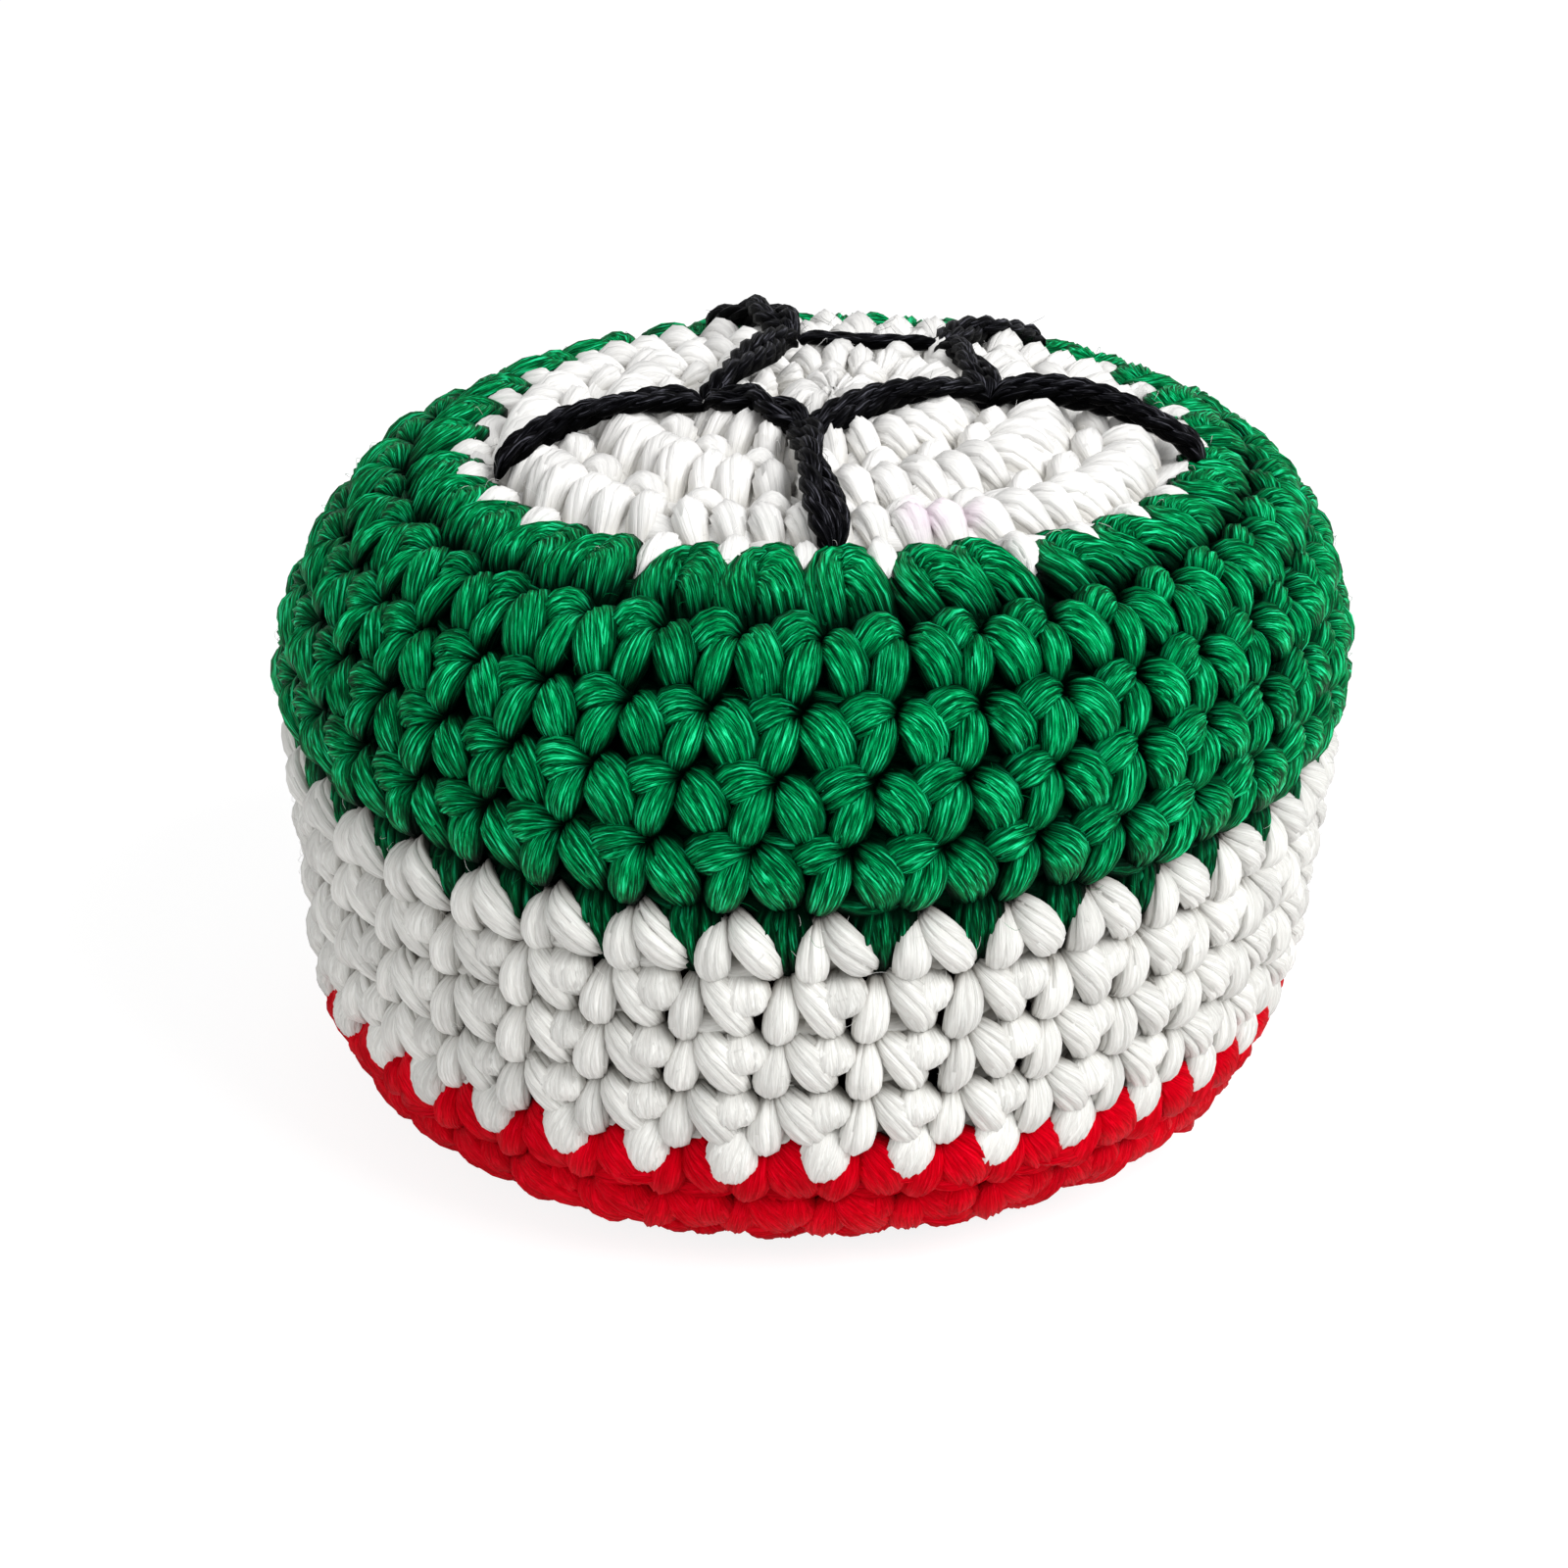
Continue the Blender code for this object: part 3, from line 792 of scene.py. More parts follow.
def lay_rounds() -> list:
    """List the rounds from the crown to the base.

    A row gives the start in millimetres, the stitches, the turn in degrees, the yarn
    and the stitch, and then puff, spread and arch where they aren't a plain round's.

    Returns:
        The rounds.
    """
    crown, green, white, red = Yarn
    first_red = replace(GREEN_STITCH, front=HANGING_TOOTH)
    rows = (
        (0.6, 6, 10.0, crown, CROWN_STITCH, 1.6, 1.0, 0.6),
        (5.2, 12, 4.0, crown, CROWN_STITCH, 1.6, 1.05, 0.6),
        (10.4, 18, -2.0, crown, CROWN_STITCH, 1.6, 1.05, 0.6),
        (15.8, 24, 3.0, crown, CROWN_STITCH, 1.6, 1.05, 0.6),
        (21.2, 30, 2.0, green, EDGE_STITCH, 1.12, 1.0, 0.9),
        (25.2, 36, -1.0, green, GREEN_STITCH, 1.04, 1.04),
        (29.6, 36, -2.8, green, GREEN_STITCH), (33.5, 36, -5.1, green, GREEN_STITCH),
        (37.4, 36, -7.3, green, GREEN_STITCH), (41.6, 36, 0.4, white, TOOTHED_STITCH),
        (45.3, 36, -2.7, white, WHITE_STITCH), (48.9, 36, -2.9, white, WHITE_STITCH),
        (52.5, 36, -3.4, white, WHITE_STITCH), (56.1, 36, -3.8, red, first_red, 0.95, 1.12),
        (60.2, 36, -6.0, red, FLAT_STITCH), (64.4, 30, -8.0, red, FLAT_STITCH),
        (68.6, 24, -10.0, red, FLAT_STITCH), (72.8, 18, -13.0, red, FLAT_STITCH),
        (77.0, 12, -16.0, red, FLAT_STITCH), (81.2, 6, -20.0, red, FLAT_STITCH),
    )
    return [Round(start * MM, count, math.radians(turn), *rest) for start, count, turn, *rest in rows]


@dataclass(frozen=True)
class Unevenness:
    """How far handmade loops and their plies differ.

    Lift is a length, lean and bend are in radians, and the others are shares.
    """

    place: float = 0.045
    lift: float = 0.13 * MM
    width: float = 0.08
    thickness: float = 0.05
    lean: float = 0.13
    girth: float = 0.26
    bend: float = 0.16
    tint: float = 0.8


@dataclass
class Shell:
    """The crocheted shell: four yarns, each in its rounds of many loops.

    A loop grows with its stitch up to size_limit, and its thickness sooner, by
    thickness_gain. Curve_share is its path's length as a share of its three legs'. Its
    plies start at wrap_start and lie over wrap_reach of a half turn round it, each
    with its own place within uv_spread on the yarn map. Rise_taper is the least taper
    of a loop's thickness, ply_taper that of its plies, and arch_fill how much less
    arched loops narrow. Follow_shares is how much of the way to the next hole each of
    a path's points goes. Painted_shade_depth is the depth at which the painted shade
    in creases is darkest, and ply_underside_shade how much darker the undersides of
    plies are painted, as painted shade. Every fifth of the crown's teeth is missing.
    The fibre swings are how far stray fibres differ.
    """

    outline: Outline
    rounds: list = field(default_factory=lay_rounds)
    uneven: Unevenness = Unevenness()
    ply_sides: int = 5
    ply_sections: int = 10
    core_sides: int = 8
    core_sections: int = 6
    wrap_start: float = -0.06
    wrap_reach: float = 1.12
    size_limit: float = 1.1
    thickness_gain: float = 1.1
    curve_share: float = 0.9
    rise_taper: float = 0.4
    ply_taper: float = 0.34
    arch_fill: float = 0.5
    follow_shares: tuple = (0.0, 0.1, 0.5, 1.0)
    drift_limit: float = 0.35
    inner_width: float = 1.2
    painted_shade_depth: float = 1.9 * MM
    ply_underside_shade: float = 0.3
    uv_spread: float = 50.0
    front_pull: float = 2.5 * MM
    front_pull_length: float = 19.5 * MM
    front_pull_spread: float = 4.3 * MM
    front_pull_width: float = math.radians(42.0)
    no_tooth_every: int = 5
    no_tooth_at: int = 2
    no_tooth_shift: float = -0.2
    fibre_sides: int = 3
    fibre_sections: int = 6
    fibre_reach: float = 0.85 * MM
    fibre_reach_swing: float = 0.5 * MM
    fibre_radius: float = 0.012 * MM
    fibre_root: float = 0.25 * MM
    fibre_rise: float = 0.28 * MM
    fibre_length_swing: float = 0.6
    fibre_bow_swing: float = 0.25
    fibre_hump_swing: float = 0.5
    fibre_tint: float = 1.5
    fibre_tint_swing: float = 2.0
    fuzzy_length: float = 50.0 * MM
    shut_radius: float = 0.8 * MM
    least_radius: float = 1.0 * MM
    seed: int = 5

    def __post_init__(self) -> None:
        """Make the blanks and the heaps."""
        self.ply = Blank(self.ply_sides, self.ply_sections)
        self.core = Blank(self.core_sides, self.core_sections)
        self.fibre = Blank(self.fibre_sides, self.fibre_sections)
        self.random = np.random.RandomState(self.seed)
        self.heaps = [Heap() for _ in self.rounds]
        self.fuzz = {yarn: Heap() for yarn in Yarn if yarn.finish.fuzz > 0}

    def place(self, turn: np.ndarray, length: np.ndarray, depth: np.ndarray) -> np.ndarray:
        """Place points on the outline, with the crown's front edge drawn up as in use.

        Args:
            turn: turns round the axis.
            length: lengths along the outline.
            depth: depths below the outline.

        Returns:
            The points, one to a row.
        """
        off = np.angle(np.exp(1j * turn)) / self.front_pull_width
        near = (length - self.front_pull_length) / self.front_pull_spread
        return self.outline.place(turn, length - self.front_pull * np.exp(-off ** 2 - near ** 2), depth)

    def loop(self, heap: Heap, shape: LoopShape, turn: float, row: Round, height: float,
             drift: float = 0.0) -> None:
        """Lay one loop of a stitch: a plump core and the plies that cover it.

        Args:
            heap: the yarn that the loop belongs to.
            shape: the kind of loop.
            turn: the turn of the stitch's hole.
            row: the loop's round.
            height: the round's height.
            drift: how far the next round's hole lies to the right, in stitches.
        """
        uneven = self.uneven
        radius = float(self.outline.at(np.array([row.start + 0.5 * height]))[0][0])
        pitch = row.pitch * radius
        size = min(self.size_limit, pitch / FULL_STITCH)
        draw = self.random.uniform(-1, 1, 10)
        ends = np.array(shape.path)
        ends[:, 0] += shape.follow * drift * np.array(self.follow_shares)
        ends = ends * (pitch, height)
        ends[1:] += draw[:6].reshape(3, 2) * uneven.place * pitch
        thick = min(size * self.thickness_gain, 1.0)
        half = (
            0.5 * shape.width * size * row.spread * (1 + uneven.width * draw[6]),
            0.5 * shape.thickness * thick * row.puff * (1 + uneven.thickness * draw[9]),
        )
        legs = np.diff(ends, axis=0)
        run = self.curve_share * float(np.hypot(legs[:, 0], legs[:, 1]).sum())
        ply_size = 0.25 * np.pi * (half[0] + half[1]) / shape.plies * row.yarn.finish.evenness
        taper = shape.taper * (1 - self.arch_fill * row.arch)
        start_depth = shape.start_depth + row.arch * (shape.crest_depth - shape.start_depth)

        def lay(blank: Blank, lean: float = 0.0, bend: float = 0.0, ply_radius: float = 0.0) -> None:
            """Lay a ply along the loop, or the core where the ply's radius is nought.

            Args:
                blank: the blank for it.
                lean: where round the loop the ply lies.
                bend: how much more than its loop the ply twists.
                ply_radius: the ply's radius.
            """
            t = blank.part
            line = curve(ends, t)
            along = ((1 - t) ** 2)[:, None] * legs[0] + (2 * (1 - t) * t)[:, None] * legs[1]
            along = along + (t ** 2)[:, None] * legs[2]
            along = along / np.maximum(np.hypot(along[:, :1], along[:, 1:]), LEAST_SPAN)
            bell = np.sin(np.pi * np.clip(t, 0.0, 1.0) ** shape.belly)
            wide, tall = half[0] * bell ** taper, half[1] * bell ** max(self.rise_taper, shape.taper)
            if ply_radius > 0:
                turned = lean + (shape.twist + bend) * (2 * t - 1)
                own = ply_radius * bell ** self.ply_taper
                across = (wide - own) * np.cos(turned) + own * np.cos(blank.angle)
                lift = (tall - own) * np.sin(turned) + own * np.sin(blank.angle)
            else:
                across = shape.core * wide * np.cos(blank.angle)
                lift = shape.core * tall * np.sin(blank.angle)
            end_depth = np.where(t < 0.5, start_depth, shape.end_depth)
            depth = shape.crest_depth + (end_depth - shape.crest_depth) * np.abs(2 * t - 1) ** shape.fall
            depth = depth + uneven.lift * draw[7] - lift
            u = line[:, 0] - across * along[:, 1]
            v = line[:, 1] + across * along[:, 0]
            points = self.place(turn + u / radius, row.start + v, depth)
            shift = self.random.uniform(0, self.uv_spread, 2)
            girth = ply_radius or 0.5 * (half[0] + half[1])
            uv = np.stack(
                [t * run / UV_UNIT + shift[0], blank.angle * girth / UV_UNIT + shift[1]], axis=-1
            )
            # Painted shade: points deep among the loops, and the undersides of plies, are darkened in
            # colour.
            rise = half[1] * (1 - 1 / row.puff)
            painted_shade = (depth + rise) / self.painted_shade_depth + self.ply_underside_shade * (1 - np.sin(blank.angle))
            heap.add(blank, points, uv, painted_shade, float(draw[8] + uneven.tint * self.random.uniform(-1, 1)))

        lay(self.core)
        for ply in range(shape.plies + 1):
            lean = math.pi * (self.wrap_start + self.wrap_reach * ply / shape.plies)
            wobble = self.random.uniform(-1, 1, 3)
            lay(self.ply, lean + uneven.lean * wobble[0], uneven.bend * wobble[2],
                ply_size * (1 + uneven.girth * wobble[1]))

    def inner_round(self, heap: Heap, row: Round, height: float) -> None:
        """Lay the inner loops of a round, which close the gaps behind its legs.

        Args:
            heap: the yarn that the round belongs to.
            row: the round.
            height: the round's height.
        """
        shape = replace(row.yarn.inner, width=self.inner_width * height)
        plain = replace(row, puff=1.0, spread=1.0, arch=0.0)
        for i in range(row.stitches):
            self.loop(heap, shape, row.turn + (i + row.yarn.inner_place) * row.pitch, plain, height)

    def stray_fibre(self, heap: Heap, row: Round, height: float) -> None:
        """Lay one stray fibre that stands off the yarn of a round.

        Args:
            heap: where the fibre goes.
            row: the round.
            height: the round's height.
        """
        draw = self.random.uniform(-1, 1, 9)
        turn = math.pi * draw[0]
        length = row.start + height * (0.5 + self.fibre_length_swing * draw[1])
        radius = max(float(self.outline.at(np.array([abs(length)]))[0][0]), self.least_radius)
        reach = self.fibre_reach + self.fibre_reach_swing * draw[2]
        thin = self.fibre.spindle(self.fibre_radius)
        bow = self.fibre_bow_swing * reach * draw[4]
        u, v = self.fibre.bowed(reach, math.pi * draw[3], bow, thin)
        hump = np.sin(np.pi * self.fibre.part ** (1 + self.fibre_hump_swing * draw[6]))
        rise = self.fibre_rise * (1 + draw[5]) * hump
        depth = self.fibre_root - rise - thin * np.sin(self.fibre.angle)
        points = self.place(turn + u / radius, length + v, depth)
        heap.add_fibre(self.fibre, points, self.fibre_tint + self.fibre_tint_swing * float(draw[7]))

    def lay_round(self, number: int, height: float) -> None:
        """Lay a round: its inner loops, its stitches and its stray fibres.

        Args:
            number: the round's number, from 0.
            height: its height.
        """
        row, heap = self.rounds[number], self.heaps[number]
        above = max(number - 1, 0)
        below = self.rounds[min(number + 1, len(self.rounds) - 1)]
        edge = row.yarn is Yarn.GREEN and self.rounds[above].yarn is Yarn.CROWN
        self.inner_round(heap, row, height)
        for i in range(row.stitches):
            turn = row.turn + i * row.pitch
            turn += self.random.uniform(-1, 1) * self.uneven.place * row.pitch
            if edge and i % self.no_tooth_every == self.no_tooth_at:
                turn += self.no_tooth_shift * row.pitch
            else:
                self.loop(self.heaps[above], row.stitch.front, turn, row, height)
            drift = (below.nearest(turn) - turn) / row.pitch
            drift = max(-self.drift_limit, min(self.drift_limit, drift))
            self.loop(heap, row.stitch.right, turn, row, height, drift)
            self.loop(heap, row.stitch.left, turn, row, height, drift)
        if row.yarn in self.fuzz and row.start < self.fuzzy_length:
            for _ in range(round(row.yarn.finish.fuzz * row.stitches)):
                self.stray_fibre(self.fuzz[row.yarn], row, height)

    def build(self) -> None:
        """Lay every round and make its piece."""
        ends = [row.start for row in self.rounds[1:]] + [self.outline.total - self.shut_radius]
        for number, end in enumerate(ends):
            self.lay_round(number, end - self.rounds[number].start)
        made = {yarn: yarn.finish.material() for yarn in Yarn}
        counts = {yarn: 0 for yarn in Yarn}
        for row, heap in zip(self.rounds, self.heaps):
            counts[row.yarn] += 1
            piece = heap.to_object(f"{row.yarn.label}_round_{counts[row.yarn]}", made[row.yarn])
            attach(piece, row.yarn.slot, row.yarn.node)
        for yarn, heap in self.fuzz.items():
            attach(heap.to_object(f"{yarn.label}_stray_fibres", made[yarn]), yarn.slot)


@dataclass(frozen=True)
class BlackStitch:
    """One long stitch of the motif, seen from above, in millimetres.

    Bow is how far its middle goes to the left of the straight line, and rise how high
    it stands over the crown. Crossings is how often its two strands change sides, and
    phase where in a turn they start. Gap is how far apart the strands lie, and strand
    is a strand's radius.
    """

    start: tuple
    end: tuple
    bow: float
    rise: float
    crossings: float
    phase: float
    gap: float
    strand: float

    def line(self) -> tuple:
        """Give its start and the way from there to its end, in metres."""
        start = np.array(self.start) * MM
        return start, np.array(self.end) * MM - start


PENTAGON_STITCHES = (
    BlackStitch((-1.3, -7.0), (8.6, 0.2), 0.6, 0.6, 1.0, 0.0, 0.6, 0.66),
    BlackStitch((8.6, -0.4), (6.4, 8.6), -0.2, 0.5, 1.0, 0.4, 0.55, 0.62),
    BlackStitch((6.4, 8.8), (-2.2, 9.6), -0.5, -0.1, 0.6, 0.2, 0.25, 0.4),
    BlackStitch((-2.4, 9.3), (-6.9, -2.0), 0.4, 0.7, 1.5, 0.1, 0.6, 0.7),
    BlackStitch((-6.9, -2.0), (-1.3, -7.0), 0.5, 0.6, 2.0, 0.3, 0.6, 0.66),
)
RAY_STITCHES = (
    BlackStitch((-1.6, -6.0), (0.2, -17.6), -0.3, 0.8, 1.0, 0.05, 0.62, 0.72),
    BlackStitch((8.6, 0.0), (20.9, -2.6), 0.9, 1.0, 0.8, 0.1, 0.65, 0.72),
    BlackStitch((6.0, 8.6), (12.6, 17.3), 0.6, 0.6, 2.0, 0.3, 0.6, 0.66),
    BlackStitch((-2.2, 9.6), (-6.9, 19.6), -0.6, 1.0, 2.0, 0.2, 0.65, 0.72),
    BlackStitch((-6.8, -2.0), (-18.4, -5.6), -1.0, 0.8, 1.4, 0.35, 0.6, 0.66),
)


@dataclass
class Motif:
    """The black pentagon and its rays, each stitch two strands laid side by side.

    Lay is the length of one full twist. Ply_share is a ply's radius as a share of its
    strand's, and bluntness how late the strands narrow. Gap_taper is how early the gap
    between them closes, and gap_rise how much of it they part upwards. Dive is how
    deep the ends go into the crown, and dive_fall how late they dip.
    """

    outline: Outline
    plies: int = 3
    lay: float = 4.2 * MM
    sides: int = 6
    step: float = 0.4 * MM
    least_sections: int = 10
    ply_share: float = 0.58
    bluntness: float = 2.6
    gap_taper: float = 0.35
    gap_rise: float = 0.45
    dive: float = 1.05 * MM
    dive_fall: float = 12.0
    end_rise: float = 0.3 * MM
    painted_shade_level: float = 0.35
    painted_shade_slope: float = 0.45
    ply_underside_shade: float = 0.25
    tint_swing: float = 0.5
    fibres: int = 16
    fibre_radius: float = 0.014 * MM
    fibre_reach: float = 1.1 * MM
    fibre_height: float = 0.9 * MM
    fibre_swing: float = 0.5 * MM
    fibre_bow_swing: float = 0.4
    fibre_tint: float = 1.0
    seed: int = 9

    def strands(self, stitch: BlackStitch) -> Heap:
        """Lay the two strands of one stitch, each of three plies twisted together.

        Args:
            stitch: the stitch.

        Returns:
            The heap that holds both strands.
        """
        heap = Heap()
        start, way = stitch.line()
        span = float(np.hypot(*way))
        blank = Blank(self.sides, max(self.least_sections, round(span / self.step)))
        t = blank.part
        across = np.array([-way[1], way[0]]) / span
        hump = np.sin(np.pi * t)
        thin = np.minimum(1, self.bluntness * np.sqrt(hump))
        strand = stitch.strand * MM
        own = self.ply_share * strand
        reach = (strand - own) * thin
        gap = stitch.gap * MM * hump ** self.gap_taper
        dive = self.dive * np.abs(2 * t - 1) ** self.dive_fall
        rise = self.end_rise + (stitch.rise * MM - self.end_rise) * hump
        for side in (0, 1):
            wind = math.pi * (2 * stitch.phase + side + stitch.crossings * t)
            for ply in range(self.plies):
                coil = 2 * math.pi * (ply / self.plies - t * span / self.lay + side / 2)
                wide = gap * np.cos(wind) + reach * np.cos(coil) + stitch.bow * MM * hump
                tall = self.gap_rise * gap * np.sin(wind) + reach * np.sin(coil)
                wide = wide + own * thin * np.cos(blank.angle)
                tall = tall + own * thin * np.sin(blank.angle)
                xy = start + way * t[:, None] + across * wide[:, None]
                turn, length = self.outline.from_above(xy[:, 0], xy[:, 1])
                points = self.outline.place(turn, length, dive - rise - tall)
                shift = (side / 2, self.plies * side / 2 + ply)
                uv = np.stack([t * span / UV_UNIT, blank.angle * own / UV_UNIT], axis=-1) + shift
                # Painted shade: the lower side of each strand and the undersides of its plies are darkened
                # in colour.
                painted_shade = self.painted_shade_level - self.painted_shade_slope * tall / strand
                painted_shade = painted_shade + self.ply_underside_shade * (1 - np.sin(blank.angle))
                heap.add(blank, points, uv, painted_shade, self.tint_swing * (2 * side - 1))
        return heap

    def stray_fibres(self) -> Heap:
        """Lay the grey fibres that stand off the strands.

        Returns:
            The heap that holds them.
        """
        heap = Heap()
        blank = Blank(sides=3, sections=6)
        random = np.random.RandomState(self.seed)
        thin = blank.spindle(self.fibre_radius)
        for stitch in PENTAGON_STITCHES + RAY_STITCHES:
            start, way = stitch.line()
            for _ in range(self.fibres):
                draw = random.uniform(-1, 1, 7)
                middle = start + way * (0.5 + 0.5 * draw[0])
                own_way, reach = math.pi * draw[1], self.fibre_reach + self.fibre_swing * draw[2]
                root = middle - 0.5 * reach * np.array((math.cos(own_way), math.sin(own_way)))
                x, y = blank.bowed(reach, own_way, self.fibre_bow_swing * reach * draw[3], thin)
                turn, length = self.outline.from_above(root[0] + x, root[1] + y)
                high = self.fibre_height + self.fibre_swing * (draw[4] + draw[5] * (2 * blank.part - 1))
                points = self.outline.place(turn, length, -high - thin * np.sin(blank.angle))
                heap.add_fibre(blank, points, self.fibre_tint)
        return heap

    def build(self) -> None:
        """Make the ten stitches and their fuzz."""
        material = BLACK_COTTON.material()
        for name, node, stitches in (("pentagon_stitch", "pentagon_side", PENTAGON_STITCHES),
                                     ("ray_stitch", "ray", RAY_STITCHES)):
            for number, stitch in enumerate(stitches, 1):
                piece = self.strands(stitch).to_object(f"{name}_{number}", material)
                attach(piece, "black_yarn", f"{node}_{number}")
        attach(self.stray_fibres().to_object("black_stray_fibres", material), "black_yarn")


@dataclass(frozen=True)
class ClothFinish:
    """Thin dark lining cloth in plain weave.

    It is dull, so that behind the shell's small holes it shows as a dark brown with
    light and dark places.
    """

    name: str = "woven_lining_cloth"
    thread: str = "#3A2420"
    gap: str = "#120807"
    # Real threads lie 0.3 mm apart, too fine to show through the holes, so that they
    # are drawn coarser.
    thread_gap: float = 2.01 * MM
    thread_waver: float = 0.4
    thread_relief: float = 0.08 * MM
    # At a scale of one, a wave's bands repeat after this share of a unit.
    band_share: float = 2 * math.pi / 20

    def material(self) -> bpy.types.Material:
        """Build the material.

        Returns:
            The material.
        """
        material, tree, shader = new_material(self.name)
        uv = add_node(tree, "ShaderNodeUVMap", {"uv_map": "yarn"})
        scale = self.band_share * UV_UNIT / self.thread_gap
        waves = [
            add_node(
                tree, "ShaderNodeTexWave",
                {"bands_direction": way, "Scale": scale, "Distortion": self.thread_waver},
                {"Vector": uv.outputs[0]},
            )
            for way in ("X", "Y")
        ]
        weave = add_node(
            tree, "ShaderNodeMath", {"operation": "MAXIMUM"},
            {0: waves[0].outputs["Fac"], 1: waves[1].outputs["Fac"]},
        )
        colour = add_node(
            tree, "ShaderNodeMix", {"data_type": "RGBA", 6: linear(self.gap), 7: linear(self.thread)},
            {0: weave.outputs[0]},
        )
        bump = add_node(
            tree, "ShaderNodeBump", {"Strength": 0.7, "Distance": self.thread_relief},
            {"Height": weave.outputs[0]},
        )
        tree.links.new(colour.outputs[2], shader.inputs["Base Color"])
        tree.links.new(bump.outputs[0], shader.inputs["Normal"])
        shader.inputs["Roughness"].default_value = 0.85
        shader.inputs["Specular IOR Level"].default_value = 0.2
        return material


@dataclass(frozen=True)
class PelletFinish:
    """Small off-white pellets, cut from a strand of polyethylene.

    They have a dull, waxy gloss, and each differs a little in shade.
    """

    name: str = "cut_polyethylene_pellets"
    pale: str = "#DAD5CA"
    dark: str = "#B9B2A4"
    cloud_size: float = 2.5 * MM
    cloud_relief: float = 0.05 * MM
    tint_share: float = 0.4

    def material(self) -> bpy.types.Material:
        """Build the material.

        Returns:
            The material.
        """
        material, tree, shader = new_material(self.name)
        place = add_node(tree, "ShaderNodeTexCoord")
        cloudy = add_node(
            tree, "ShaderNodeTexNoise", {"Scale": 1 / self.cloud_size, "Detail": 3.0},
            {"Vector": place.outputs["Object"]},
        )
        tint = add_node(tree, "ShaderNodeAttribute", {"attribute_name": "tint"})
        mixed = add_node(
            tree, "ShaderNodeMath", {"operation": "MULTIPLY_ADD", 1: self.tint_share},
            {0: tint.outputs["Fac"], 2: cloudy.outputs[0]},
        )
        colour = add_node(
            tree, "ShaderNodeMix", {"data_type": "RGBA", 6: linear(self.dark), 7: linear(self.pale)},
            {0: mixed.outputs[0]},
        )
        bump = add_node(
            tree, "ShaderNodeBump", {"Strength": 0.3, "Distance": self.cloud_relief},
            {"Height": cloudy.outputs[0]},
        )
        tree.links.new(colour.outputs[2], shader.inputs["Base Color"])
        tree.links.new(bump.outputs[0], shader.inputs["Normal"])
        shader.inputs["Roughness"].default_value = 0.45
        return material


